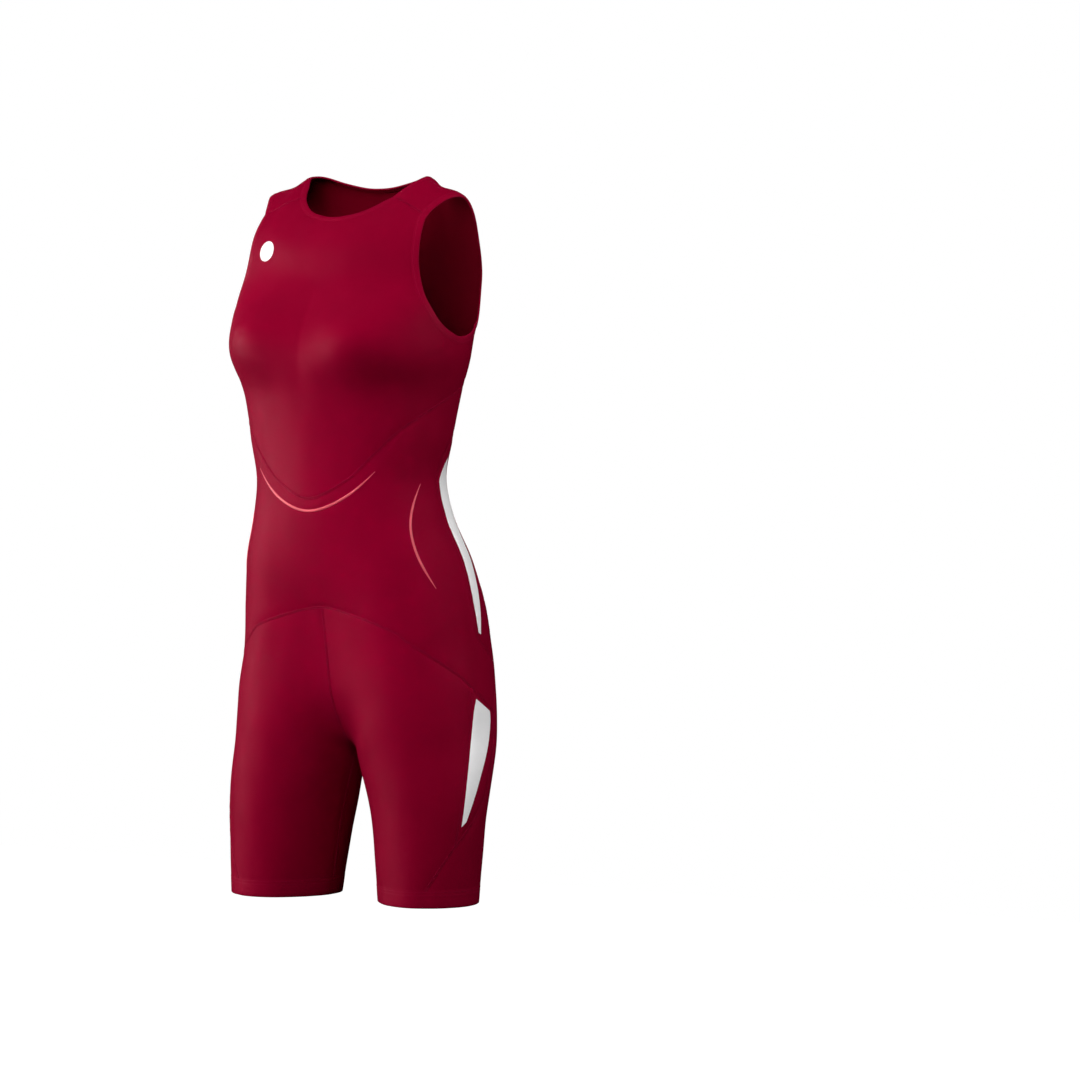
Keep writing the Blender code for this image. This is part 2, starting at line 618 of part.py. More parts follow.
def left_seams(at, neck, arm):
    """Every seam of the wearer's left side that isn't at an opening."""
    rows = {
        "smile": (SMILE, "smile_middle", "arm_root"),
        "smile_rear": (SMILE_REAR, "arm_root", "side_smile"),
        "arch": (ARCH, "arch_middle", "band_root"),
        "arch_side": (ARCH_SIDE, "band_root", "thigh_top"),
        "arch_rear": (ARCH_REAR, "thigh_top", "thigh_rear_top"),
        "side_top": (SIDE_TOP, "arm_bottom", "side_smile"),
        "side_arm": (SIDE_ARM, "side_smile", "flank_rear_top"),
        "side_waist": (SIDE_WAIST, "flank_rear_top", "side_waist"),
        "side_hip": (SIDE_HIP, "side_waist", "flank_rear_foot"),
        "band_end": (BAND_END, "flank_rear_foot", "thigh_rear_top"),
        "waist": (WAIST, "waist", "side_waist"),
        "flank_front": (FLANK_FRONT, "flank_front_top", "flank_front_foot"),
        "flank_top": (FLANK_TOP, "flank_front_top", "flank_rear_top"),
        "flank_foot": (FLANK_FOOT, "flank_front_foot", "flank_rear_foot"),
        "arm_root": (ARM_ROOT, "arm_root", "flank_front_top"),
        "band_root": (BAND_ROOT, "band_root", "flank_front_foot"),
    }
    leg_rows = {
        "thigh_front": (THIGH_FRONT, "thigh_top", "thigh_foot"),
        "thigh_foot": (THIGH_FOOT, "thigh_foot", "thigh_rear_foot"),
        "thigh_rear": (THIGH_REAR, "thigh_rear_foot", "thigh_rear_top"),
        "knee": (KNEE_SEAM, "thigh_foot", "hem_seam"),
        "inseam": (INSEAM, "crotch", "hem_inside"),
        "hem_front": (HEM_FRONT, "hem_inside", "hem_seam"),
        "hem_rear": (HEM_REAR, "hem_seam", "hem_inside"),
    }
    cells = dict(CELLS)
    cells["waist"] = cells["hem_rear"] = CELLS["neck_back"] + CELLS["shoulder"]
    cells["hem_front"] = CELLS["arch"] + CELLS["arch_side"]
    cells["flank_front"] = CELLS["side_waist"] + CELLS["side_hip"]
    cells["flank_top"] = cells["flank_foot"] = CELLS["smile_rear"]
    cells["arm_root"], cells["band_root"] = CELLS["side_arm"], CELLS["band_end"]
    cells["thigh_front"] = cells["thigh_rear"] = CELLS["thigh"]
    found = {}
    for table, on_leg in ((rows, False), (leg_rows, True)):
        for name, (run, start, end) in table.items():
            found[name] = seam(run, cells[name], at[start], at[end], on_leg)
    found["shoulder"] = space_seam(np.array(SHOULDER_SEAM) * MM, CELLS["shoulder"],
                                   at["neck_forward"], at["arm_forward"])
    ridge = np.linspace(at["neck_ridge"], at["arm_ridge"], 9)
    found["ridge"] = space_seam(ridge, CELLS["shoulder"], at["neck_ridge"], at["arm_ridge"])
    under_arm = np.linspace(at["arm_root"], at["arm_turn"], 9)
    found["under_arm"] = space_seam(under_arm, CELLS["side_top"], at["arm_root"],
                                    at["arm_turn"])
    found["chest_middle"] = middle_seam(at["smile_middle"], at["neck_middle"],
                                        CELLS["side_top"] + CELLS["armhole_front"]
                                        + CELLS["shoulder"])
    rise = ("side_waist", "side_arm", "side_top", "armhole_back")
    found["back_middle"] = middle_seam(at["waist"], at["neck_back_middle"],
                                       sum(CELLS[name] for name in rise))
    found["front_middle"] = middle_seam(at["arch_middle"], at["smile_middle"],
                                        CELLS["band_end"] + cells["flank_front"]
                                        + CELLS["side_arm"])
    found["front_crotch"] = centre_seam(at["arch_middle"], at["crotch"], CELLS["crotch"])
    fall = ("side_hip", "band_end", "thigh", "thigh_foot", "knee")
    found["back_crotch"] = centre_seam(at["waist"], at["crotch"],
                                       sum(CELLS[name] for name in fall) - CELLS["inseam"])
    return found


def left_panels(s, neck, arm):
    """Grids of cloth of the wearer's left side."""
    neck = {name: lines[0] for name, lines in neck.items()}
    arm = {name: lines[0] for name, lines in arm.items()}
    back = slice(None, None, -1)
    side_up = join(s["side_waist"][back], s["side_arm"][back], s["side_top"][back],
                   arm["armhole_back"])
    return {
        "bodice": spread(
            s["smile"], neck["neck_front"], s["chest_middle"],
            join(s["under_arm"], arm["armhole_front"][back], s["shoulder"][back])),
        "bodice_side": spread(
            s["smile_rear"], arm["armhole_under"], s["under_arm"], s["side_top"][back]),
        "back": spread(
            s["waist"][back], join(s["ridge"][back], neck["neck_back"]),
            side_up, s["back_middle"]),
        "strap": spread(
            s["shoulder"], s["ridge"], neck["neck_side"], arm["neck_side"][back]),
        "mid": spread(
            s["arch"], s["smile"], s["front_middle"],
            join(s["band_root"], s["flank_front"][back], s["arm_root"][back])),
        "mid_arm": spread(
            s["flank_top"], s["smile_rear"], s["arm_root"][back], s["side_arm"][back]),
        "mid_band": spread(
            join(s["arch_side"], s["arch_rear"]), s["flank_foot"], s["band_root"],
            s["band_end"][back]),
        "flank": spread(
            s["flank_foot"], s["flank_top"], s["flank_front"][back],
            join(s["side_hip"][back], s["side_waist"][back])),
        "thigh": spread(
            s["thigh_foot"], s["arch_rear"], s["thigh_front"][back], s["thigh_rear"]),
        "leg_front": spread(
            s["hem_front"], join(s["arch"], s["arch_side"]),
            join(s["inseam"][back], s["front_crotch"][back]),
            join(s["knee"][back], s["thigh_front"][back])),
        "leg_back": spread(
            s["hem_rear"], s["waist"][back],
            join(s["knee"][back], s["thigh_foot"], s["thigh_rear"], s["band_end"][back],
                 s["side_hip"][back]),
            join(s["inseam"][back], s["back_crotch"][back])),
    }


def hem_grid(s):
    """Ring of the turned hem, from the hem seam down to the leg's edge."""
    top = join(s["hem_front"], s["hem_rear"])
    rows = [settle(top - (0, 0, HEM_DEPTH * share)) for share in (1.0, 0.5)]
    return np.stack(rows + [top])


def material_of(name, colour, roughness):
    material = bpy.data.materials.new(name)
    material.use_nodes = True
    shader = material.node_tree.nodes["Principled BSDF"]
    shader.inputs["Base Color"].default_value = (*colour, 1.0)
    shader.inputs["Roughness"].default_value = roughness
    return material


CRIMSON = (0.30, 0.004, 0.032)
CORAL = (0.79, 0.12, 0.13)
WHITE = (0.88, 0.86, 0.86)


def dyed(name):
    return material_of(name + "_cloth", CRIMSON, 0.75)


def main():
    for leftover in list(bpy.data.objects):
        bpy.data.objects.remove(leftover)
    at = corners()
    neck, arm = neck_lines(at), arm_lines(at)
    seams = left_seams(at, neck, arm)
    panels = left_panels(seams, neck, arm)

    for name, parts in (("front_bodice", ("bodice", "bodice_side")), ("back_upper", ("back", "strap")),
                        ("front_mid", ("mid", "mid_arm", "mid_band"))):
        left = [panels[part] for part in parts]
        cloth(name, left + [mirrored(grid) for grid in left], dyed(name))
    for name, part in (("side_upper", "flank"), ("side_lower", "thigh"),
                       ("leg_front", "leg_front"), ("leg_back", "leg_back")):
        both_sides(name, [panels[part]], dyed(name))
    both_sides("leg_hem", [hem_grid(seams)], dyed("leg_hem"), wall=HEM_WALL,
               lift=(HEM_WALL - WALL) / 2)

    flip = np.array([-1.0, 1.0, 1.0])
    order = ("neck_front", "neck_side", "neck_back")
    seam_line, edge = (join(*(neck[name][k] for name in order)) for k in (0, 1))
    whole = [np.vstack([line, line[-2:0:-1] * flip]) for line in (edge, seam_line)]
    binding("neck_binding", *whole, dyed("neck_binding"))
    order = ("neck_side", "armhole_front", "armhole_under", "armhole_back")
    seam_line, edge = (join(*(arm[name][k] for name in order))[:-1] for k in (0, 1))
    binding("armhole_binding_l", edge, seam_line, dyed("armhole_binding_l"))
    binding("armhole_binding_r", edge * flip, seam_line * flip, dyed("armhole_binding_r"))

    raised = {"wall": PIPING_WALL, "lift": FILM_LIFT + PIPING_WALL}
    half = cord(UNDER_BUST_CORD)
    half[0, 0] = 0.0
    middle_cord = np.vstack([half[:0:-1] * flip, half])
    cloth("piping_under_bust", [strip(middle_cord, PIPING_WIDTH)],
          material_of("piping_under_bust_cord", CORAL, 0.5), **raised)
    both_sides("piping_hip", [strip(cord(HIP_CORD), PIPING_WIDTH)],
               material_of("piping_hip_cord", CORAL, 0.5), **raised)

    bonded = {"wall": FILM_WALL, "lift": FILM_LIFT + FILM_WALL}
    both_sides("flash_upper", [film(panels["flank"], UPPER_FILM, 16, 5)],
               material_of("flash_upper_film", WHITE, 0.45), **bonded)
    both_sides("flash_lower", [film(panels["thigh"], LOWER_FILM, 14, 6)],
               material_of("flash_lower_film", WHITE, 0.45), **bonded)
    cloth("chest_dot", [disc(CHEST_DOT, DOT_RADIUS)],
          material_of("chest_dot_film", WHITE, 0.45), **bonded)
    tab_line = settle(np.linspace((TAB_HALF, BACK_TAB[1] * MM, BACK_TAB[2] * MM),
                                  (-TAB_HALF, BACK_TAB[1] * MM, BACK_TAB[2] * MM), 7))
    cloth("back_tab", [strip(tab_line, TAB_WIDTH)],
          material_of("back_tab_film", WHITE, 0.45), **bonded)


main()
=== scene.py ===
"""The looks of a women's-cut wrestling singlet, filled out and hollow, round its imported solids.

The garment's form, its seams and its cloth grids are worked out as in the part's source, with
finer cells. Each panel is a thin stretched shell, and the seams, stitches, edge bands, cords
and films lie on it. Units: the tables are in millimetres and degrees, the scene in metres.
+Z is up, the front faces -Y, the wearer's left is +X.
"""

import math

import bpy
import numpy as np
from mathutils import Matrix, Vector
from mathutils.kdtree import KDTree


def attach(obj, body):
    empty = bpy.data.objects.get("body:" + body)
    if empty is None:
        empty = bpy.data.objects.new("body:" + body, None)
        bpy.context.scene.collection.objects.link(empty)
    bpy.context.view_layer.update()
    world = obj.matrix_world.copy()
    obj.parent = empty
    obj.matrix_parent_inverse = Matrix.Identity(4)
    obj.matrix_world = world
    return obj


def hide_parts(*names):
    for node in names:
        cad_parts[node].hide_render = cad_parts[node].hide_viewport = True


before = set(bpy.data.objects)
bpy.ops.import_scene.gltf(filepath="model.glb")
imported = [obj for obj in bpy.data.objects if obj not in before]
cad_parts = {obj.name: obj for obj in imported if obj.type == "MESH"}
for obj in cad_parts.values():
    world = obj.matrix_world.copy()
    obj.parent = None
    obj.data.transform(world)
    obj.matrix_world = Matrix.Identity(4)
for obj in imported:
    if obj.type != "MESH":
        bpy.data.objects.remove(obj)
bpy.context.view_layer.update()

MM = 0.001
FLIP = np.array([-1.0, 1.0, 1.0])

# ---- The worn form: the same driving dimensions as the solids ----
NECK_BINDING_WIDTH = 7 * MM
ARM_BINDING_WIDTH = 8 * MM
HEM_DEPTH = 20 * MM
FILM_LIFT = 0.1 * MM
SQUARENESS = 2.2            # exponent of the oval sections, 2 is an ellipse
CHEST_TOP = -120 * MM       # above this height the sections close over the shoulders
NECK_HALF = 80 * MM
NECK_SOFT = 3 * MM
SHOULDER_DROP = 25 * MM     # the shoulder falls this far beside the neck
SHOULDER_DROP_OVER = 12 * MM
SHOULDER_LEVEL = 0.37       # and levels out again towards its tip
BUST_OUT = 76 * MM
BUST_HEIGHT = -178 * MM
BUST_PROUD = 22 * MM
BUST_WIDE = 50 * MM
BUST_TALL = 42 * MM
BUST_FADE = 60 * MM
BUST_BACK = -38 * MM        # the fullness fades out towards this depth
DEPTH_EASE = 40 * MM        # front and rear depth change over this, in the solids at once

# Half sections. Each height has one oval on each side of the middle, and the two blend.
# height, out and back of the oval's centre, half width, depth to the front and to the rear,
# twist in degrees, width of the blend over the middle.
SECTIONS = (
    (20, 100, 7, 82, 26, 54, -20, 80),
    (-60, 62, -12, 89, 77, 57, 9, 80),
    (-120, 54, -14, 94, 87, 70, 8, 80),
    (-165, 43, -12, 96, 113, 65, 7, 80),
    (-205, 42, -32, 95, 104, 90, 0, 80),
    (-250, 40, -32, 85, 98, 84, 0, 75),
    (-300, 38, -36, 79, 88, 78, 0, 70),
    (-345, 37, -38, 71, 84, 78, 0, 70),
    (-390, 40, -33, 75, 88, 82, 0, 70),
    (-440, 50, -21, 81, 94, 88, 0, 70),
    (-490, 60, -9, 79, 98, 94, 0, 68),
    (-540, 68, -3, 76, 98, 94, 0, 88),
    (-590, 76, -5, 76, 94, 90, 0, 92),
    (-630, 82, -11, 75, 86, 84, -10, 58),
    (-670, 86, -17, 76, 75, 75, -30, 14),
    (-720, 91, -21, 74, 66, 66, -45, 10),
    (-780, 94, -26, 68, 60, 60, -45, 8),
    (-840, 96, -30, 63, 56, 56, -45, 8),
    (-900, 100, -34, 60, 54, 54, -45, 8),
)

# ---- Seams of the wearer's left side ----
# The corners that each seam joins, and its run: degrees round from the front, and height. A
# corner lies where its first seam has it, but the openings and the crotch set their own.
TORSO_SEAMS = {
    "smile": ("smile_middle", "arm_root",
              ((0, -364), (28, -343), (44, -315), (58, -287), (73, -268), (88, -254))),
    "smile_rear": ("arm_root", "side_smile", ((88, -254), (103, -243), (113, -237), (120, -232))),
    "arch": ("arch_middle", "band_root",
             ((0, -489), (22, -496), (42, -511), (51, -526), (64, -547), (76, -566))),
    "arch_side": ("band_root", "thigh_top", ((76, -566), (83, -580))),
    "arch_rear": ("thigh_top", "thigh_rear_top", ((83, -580), (93, -597), (102, -611))),
    "side_top": ("arm_bottom", "side_smile", ((105, -177), (112, -192), (119, -211), (120, -232))),
    "side_arm": ("side_smile", "flank_rear_top", ((120, -232), (122.5, -253), (125, -282))),
    "side_waist": ("flank_rear_top", "side_waist",
                   ((125, -282), (128, -321), (126, -354), (122, -397))),
    "side_hip": ("side_waist", "flank_rear_foot",
                 ((122, -397), (119, -425), (116, -462), (113, -510), (110, -556))),
    "band_end": ("flank_rear_foot", "thigh_rear_top", ((110, -556), (107, -584), (102, -611))),
    "waist": ("waist", "side_waist", ((180, -394), (144, -396), (122, -397))),
    "flank_front": ("flank_front_top", "flank_front_foot",
                    ((94, -343), (96, -385), (95, -436), (93, -490), (93, -525))),
    "flank_top": ("flank_front_top", "flank_rear_top",
                  ((94, -343), (101, -312), (110, -297), (118, -289), (125, -282))),
    "flank_foot": ("flank_front_foot", "flank_rear_foot", ((93, -525), (102, -543), (110, -556))),
    "arm_root": ("arm_root", "flank_front_top", ((88, -254), (90, -298), (94, -343))),
    "band_root": ("band_root", "flank_front_foot", ((76, -566), (84, -547), (93, -525))),
}
LEG_SEAMS = {
    "thigh_front": ("thigh_top", "thigh_foot", ((76, -581), (70, -640), (62, -702), (56, -757))),
    "thigh_foot": ("thigh_foot", "thigh_rear_foot", ((56, -757), (72, -734), (93, -703))),
    "thigh_rear": ("thigh_rear_foot", "thigh_rear_top", ((93, -703), (105, -655), (114, -611))),
    "knee": ("thigh_foot", "hem_seam", ((56, -757), (38, -788), (28, -806))),
    "inseam": ("crotch", "hem_inside", ((-90, -652), (-90, -675), (-90, -740), (-90, -806))),
    "hem_front": ("hem_inside", "hem_seam", ((-90, -806), (-50, -806), (-10, -806), (28, -806))),
    "hem_rear": ("hem_seam", "hem_inside",
                 ((28, -806), (90, -806), (150, -806), (210, -806), (270, -806))),
}
# Seams that run straight between two corners, over the form and in the middle plane, and those
# that run down to the crotch, by the corner that each starts from.
STRAIGHT_SEAMS = {"ridge": ("neck_ridge", "arm_ridge"), "under_arm": ("arm_root", "arm_turn")}
MIDDLE_SEAMS = {
    "chest_middle": ("smile_middle", "neck_middle"), "back_middle": ("waist", "neck_back_middle"),
    "front_middle": ("arch_middle", "smile_middle"),
}
CROTCH_SEAMS = {"front_crotch": "arch_middle", "back_crotch": "waist"}
CROTCH_LOW, CROTCH_HIGH = -700 * MM, -600 * MM      # the legs part between these heights
CROTCH_REACH = 80 * MM      # and within this much of the origin's depth
CROTCH_POINTS = 321
# In space: out, back, height.
NECK_EDGE = (
    (0, -76, -49), (24, -71, -46), (40, -63, -39), (56, -45, -28), (66, -24, -14),
    (75, 0, 0), (61, 12, -4), (40, 18, -9), (0, 21, -13),
)
ARMHOLE_EDGE = (
    (132, -3, -24), (120, -22, -29), (109, -46, -45), (107, -60, -65), (111, -74, -94),
    (118, -80, -120), (125, -78, -144), (132, -62, -168), (137, -30, -182), (136, 0, -177),
    (130, 26, -157), (127, 36, -120), (130, 27, -80), (134, 9, -46),
)
ARMHOLE_TURN = (131, -70, -172)    # where the armhole turns to run back under the arm
NECK_RIDGE = (82, 0, -5)           # where the shoulder's crest meets the neck's seam
SHOULDER_SEAM = ((58, -42, -26), (82, -47, -37), (105, -50, -47))
CHEST_DOT = (-79, -87, -88)
BACK_TAB = (0, 44, -49)

# Cords on the torso, degrees round and height.
UNDER_BUST_CORD = ((0, -381), (27, -363), (37, -350), (46, -333))
HIP_CORD = ((77, -348), (65, -382), (62.5, -410), (63, -435), (69, -466))
# Films on the side panels: share of the panel's height from its foot, and the shares of its
# width from the front edge where the film begins and ends.
UPPER_FILM = (
    (0.04, 0.07, 0.16), (0.20, 0.06, 0.34), (0.40, 0.06, 0.48), (0.60, 0.06, 0.56),
    (0.80, 0.07, 0.56), (0.94, 0.12, 0.48),
)
LOWER_FILM = (
    (0.10, 0.09, 0.22), (0.30, 0.08, 0.44), (0.50, 0.08, 0.60), (0.70, 0.08, 0.72),
    (0.86, 0.09, 0.76), (0.95, 0.14, 0.72),
)
FLASHES = (("flash_upper", "flank", UPPER_FILM, 12), ("flash_lower", "thigh", LOWER_FILM, 14))
FLASH_CELLS = 60            # up each flash, and the last number in its row is the cells across
DOT_RADIUS = 12 * MM
TAB_HALF = 16 * MM
TAB_WIDTH = 5 * MM
TAB_POINTS = 25

# ---- Cells along the seams: the solids' cells, each cut into FINE ----
# Sides of a panel that face each other have the same number of cells.
FINE = 5
COARSE_CELLS = {
    "neck_front": 8, "neck_side": 3, "neck_back": 7, "arm_top": 3, "armhole_front": 7,
    "armhole_under": 5, "armhole_back": 9, "shoulder": 5, "ridge": 5, "under_arm": 4,
    "chest_middle": 16, "back_middle": 21, "front_middle": 17, "front_crotch": 7,
    "back_crotch": 20, "smile": 8, "smile_rear": 5, "arch": 8, "arch_side": 1, "arch_rear": 4,
    "side_top": 4, "side_arm": 3, "side_waist": 5, "side_hip": 6, "band_end": 3, "waist": 12,
    "flank_front": 11, "flank_top": 5, "flank_foot": 5, "arm_root": 3, "band_root": 3,
    "thigh_front": 11, "thigh_foot": 4, "thigh_rear": 11, "knee": 3, "inseam": 7,
    "hem_front": 9, "hem_rear": 12,
}
CELLS = {name: count * FINE for name, count in COARSE_CELLS.items()}
RELAX_ROUNDS = 40
SPLINE_SAMPLES = 24         # on each span of a drawn line
HALVINGS = 40               # rounds of halving when a surface point is sought
STEP_LIMIT = 20 * MM        # furthest that one round of settling moves a point
FAR = 300 * MM              # further than any surface from its axis
TINY = 1e-9                 # a smaller share across means a ray level with the middle
LEAST_SLOPE = 0.2           # squared, so that a step stays finite where the form is flat
STRAIGHT_POINTS = 9         # on a straight seam, before it is laid on the form
CENTRE_POINTS = 200         # on a seam down the middle plane
WELD_STEP = 1e-7            # points closer than this are one
SHARP_ANGLE = 50            # degrees, edges that turn more look sharp

# ---- Walls, seams and relief ----
CLOTH_WALL = 1.0 * MM
SEAM_GAP = 0.3 * MM
RIDGE_WIDTH = 3.0 * MM      # flat seam cover
RIDGE_PROUD = 0.35 * MM
RIDGE_SUNK = 0.5 * MM
RIDGE_STEP = 1.3 * MM
NEEDLE_ROWS = (-1.0 * MM, 1.0 * MM)
STITCH_PITCH = 2.6 * MM
STITCH_LENGTH = 1.9 * MM
THREAD_RADIUS = 0.16 * MM
# Rings of a stitch: share of its length from its middle, rise and thickness in thread radii.
STITCH_RINGS = np.array([(-0.5, -0.7, 0.6), (-0.3, 0.75, 1.0), (0.3, 0.75, 1.0), (0.5, -0.7, 0.6)])
STITCH_SIDES = 4
TUBE_FLAT = 0.5 * MM        # between the points of a ring, on a tube's flat place
BAND_WALL = 2.2 * MM
BAND_PROUD = 0.25 * MM
BAND_LAP = 0.9 * MM         # the band's face runs this far over its seam
BAND_CROWN = 0.12 * MM      # and is this much fuller in the middle
LAP_HEIGHTS = (0.06 * MM, -0.3 * MM)       # of the lap's edge, above and below the cloth
FOLD_TURN = 80              # degrees that the rounded fold turns either way
UNDER_POINTS, FOLD_POINTS, OVER_POINTS = 4, 7, 6    # of the band's section
HEM_WALL = 1.9 * MM
HEM_PROUD = 0.1 * MM
CORD_WIDTH = 3.0 * MM
CORD_PROUD = 0.8 * MM
CORD_SMOOTHING = 60         # rounds of evening out the drawn line
CORD_POINTS = 3.0 * MM      # between the points that are evened out
CORD_STEP = 1.5 * MM
CORD_TURNS = range(-10, 191, 25)    # degrees round its section
FILM_WALL = 0.3 * MM
SEAM_DIP = 0.75 * MM        # the cloth draws in along its seams
SEAM_DIP_WIDE = 5 * MM
PUCKER = 0.10 * MM
PUCKER_LENGTH = 15 * MM
PUCKER_WANDER = 1.7         # radians that a pucker strays from its even place
PUCKER_REPEAT = 3.3         # puckers between one stray and the next
SEAM_CALM = 0.7             # share of the unevenness that a seam holds still
UNEVEN = ((0.45 * MM, 110 * MM, 6), (0.16 * MM, 42 * MM, 8))   # depth, wave length, waves
WAVE_SEED = 11
WAVE_STRETCH = (1, 1, 0.6)  # the waves are longer up the body than round it
WAVE_SPREAD = (0.7, 1.5)    # wave lengths lie between these shares of the one given
CORD_FULLNESS = 1.5         # how fast a cord fills out from its thin ends
CORD_END = 0.25
HEM_STITCHES = (-1.6 * MM, -5.2 * MM)      # needle rows below the hem's seam
BAND_STITCHES = (1.5 * MM,)                # and on the edge bands

# Soft folds: 1 if round a leg, side (1 left, -1 right), degrees round and height of one end,
# and of the other, height off the form (troughs are negative), half width.
CREASES = (
    (0, 1, 64, -208, 86, -192, -0.5, 5), (0, 1, 56, -226, 88, -228, -0.6, 6),
    (0, -1, 62, -212, 84, -200, -0.5, 5), (0, -1, 52, -228, 78, -242, -0.5, 7),
    (0, 1, 10, -176, 26, -206, 0.7, 9), (0, -1, 8, -184, 24, -222, 0.6, 8),
    (0, 1, 128, -205, 150, -216, -0.5, 6), (0, -1, 130, -212, 147, -228, -0.5, 6),
    (0, 1, 72, -404, 110, -388, -0.6, 7), (0, -1, 76, -398, 116, -384, -0.5, 6),
    (0, 1, 172, -352, 136, -343, -0.8, 8), (0, -1, 174, -369, 140, -356, -0.6, 7),
    (0, 1, 164, -380, 138, -373, -0.4, 6), (0, -1, 40, -428, 78, -446, -0.4, 8),
    (1, 1, -58, -648, -14, -618, -0.8, 6), (1, 1, -50, -668, -10, -652, -0.5, 5),
    (1, -1, -60, -653, -18, -624, -0.7, 6), (1, -1, -47, -674, -14, -663, -0.5, 5),
    (1, 1, 160, -667, 208, -659, -0.9, 8), (1, -1, 164, -663, 212, -672, -0.8, 8),
    (1, 1, 168, -686, 204, -692, -0.4, 6), (1, -1, 150, -700, 186, -688, -0.4, 7),
)

# ---- Colours and finish ----
CRIMSON = (0.21, 0.0, 0.0165)
# Inner face of the knit: a duller tone of the cloth, darkened further as painted shade for the
# hollow inside.
INSIDE_SHADED_CRIMSON = (0.11, 0.0, 0.006)
BAND_CRIMSON = (0.22, 0.0003, 0.018)
SEAM_CRIMSON = (0.19, 0.0004, 0.016)
THREAD_CRIMSON = (0.28, 0.003, 0.03)
CORAL = (0.62, 0.07, 0.10)
WHITE = (0.95, 0.94, 0.945)
PALE = (0.55, 0.50, 0.51)
WALE = 0.8 * MM
COURSE = 0.65 * MM
KNIT_DEPTH = 0.05 * MM
THREAD_COIL = 0.5 * MM
CLOTH_ROUGHNESS = (0.46, 0.54)
CLOTH_SHEEN = 0.03
SHEEN_ROUGHNESS = 0.4
TONE_RAMP = (0.3, 0.7)      # noise below and above which the tone stays the same
CLOTH_TONES = (0.95, 1.05)  # tones are shares of the colour
COVER_TONES = (0.85, 1.1)
THREAD_TONES = (0.85, 1.15)
FILM_TONES = (0.95, 1.0)
COVER_ROUGHNESS = 0.55
THREAD_ROUGHNESS = 0.42
THREAD_SHEEN = 0.2
CORD_ROUGHNESS = 0.42
FILM_ROUGHNESS = 0.4
BONDED_GLOSS = (-0.06, 0.08)        # its roughness strays between these
FLOOR_TONES = (0.55, 0.57)
FLOOR_ROUGHNESS = 0.9
FLOOR_SPECULAR = 0.1
COURSE_SWING = 2.2          # radians that a course swings to and fro
COURSE_SHARE = 0.6          # of the wales' height
COIL_SLANT = 0.5            # a coil climbs this much for each step across
COIL_DEPTH = 0.06 * MM
FUZZ_DEPTH = 0.05 * MM
THREAD_FUZZ_DEPTH = 0.03 * MM
# Scales of the finishes' noises, per metre: patches of tone, patches of gloss, and grain.
CLOTH_TONE, CLOTH_GLOSS, CLOTH_FUZZ = 16.0, 60.0, 2600.0
COVER_TONE, THREAD_TONE, THREAD_FUZZ = 220.0, 700.0, 5000.0
FILM_TONE, FILM_GLOSS, FILM_GRAIN = 40.0, 120.0, 900.0
SHEEN_TINT = (1.0, 0.03, 0.12)
CLOTH_SPECULAR = 0.09
BAND_SPECULAR = 0.16
INSIDE_SPECULAR = 0.02
INSIDE_ROUGHNESS = (0.85, 0.95)

# ---- Pieces ----
# Panels of the wearer's left side: foot, top, left and right edge. Each edge is one or more
# seams end to end, and a minus turns a seam round.
PANEL_EDGES = {
    "bodice": ("smile", "neck_front", "chest_middle", "under_arm -armhole_front -shoulder"),
    "bodice_side": ("smile_rear", "armhole_under", "under_arm", "-side_top"),
    "back": ("-waist", "-ridge neck_back", "-side_waist -side_arm -side_top armhole_back",
             "back_middle"),
    "strap": ("shoulder", "ridge", "neck_side", "-arm_top"),
    "mid": ("arch", "smile", "front_middle", "band_root -flank_front -arm_root"),
    "mid_arm": ("flank_top", "smile_rear", "-arm_root", "-side_arm"),
    "mid_band": ("arch_side arch_rear", "flank_foot", "band_root", "-band_end"),
    "flank": ("flank_foot", "flank_top", "-flank_front", "-side_hip -side_waist"),
    "thigh": ("thigh_foot", "arch_rear", "-thigh_front", "thigh_rear"),
    "leg_front": ("hem_front", "arch arch_side", "-inseam -front_crotch", "-knee -thigh_front"),
    "leg_back": ("hem_rear", "-waist", "-knee thigh_foot thigh_rear -band_end -side_hip",
                 "-inseam -back_crotch"),
}
# Nodes and the panels that each is cut from: over the middle, and one on each side.
BODY_PIECES = {
    "front_bodice": ("bodice", "bodice_side"), "back_upper": ("back", "strap"),
    "front_mid": ("mid", "mid_arm", "mid_band"),
}
SIDED_PIECES = {"side_upper": "flank", "side_lower": "thigh", "leg_front": "leg_front",
                "leg_back": "leg_back"}
# Sewn seams that show, by the group they are sewn in: those that cross the middle with their
# mirror image, those in the middle plane, and those of each side.
SEWN_SEAMS = {
    "upper": (("smile smile_rear", "waist"), (),
              ("side_top side_arm side_waist side_hip band_end", "shoulder", "flank_front",
               "flank_top", "flank_foot")),
    "leg": (("arch arch_side arch_rear",), ("front_crotch", "back_crotch"),
            ("thigh_front", "thigh_foot", "thigh_rear", "knee", "inseam")),
}
SEWN_NODES = {"upper": "front_mid", "leg": "leg_front_l"}

# ---- Studio ----
CAMERA_TURN = 32.0          # degrees from the garment's front towards its left
CAMERA_DISTANCE = 6.0
CAMERA_HEIGHT = -60 * MM
CAMERA_DOWN = 3.397         # degrees below level
CAMERA_ASIDE = 2.046        # degrees off the garment's axis
CAMERA_LENS = 175.44
CAMERA_REACH = 60.0
SENSOR = 36.0
AXIS_BACK = -38 * MM        # depth of the garment's axis, round which the studio stands
LIGHT_AIM = -450 * MM
FLOOR_HEIGHT = -1.38
FLOOR_WIDE = 8.0
FLOOR_GLOW = 1.0
FLOOR_TONE = 0.7            # scale of its noise, per metre
SATIN_LIGHTS = ("low_rear_left", "rear_left", "low_left", "left", "right")
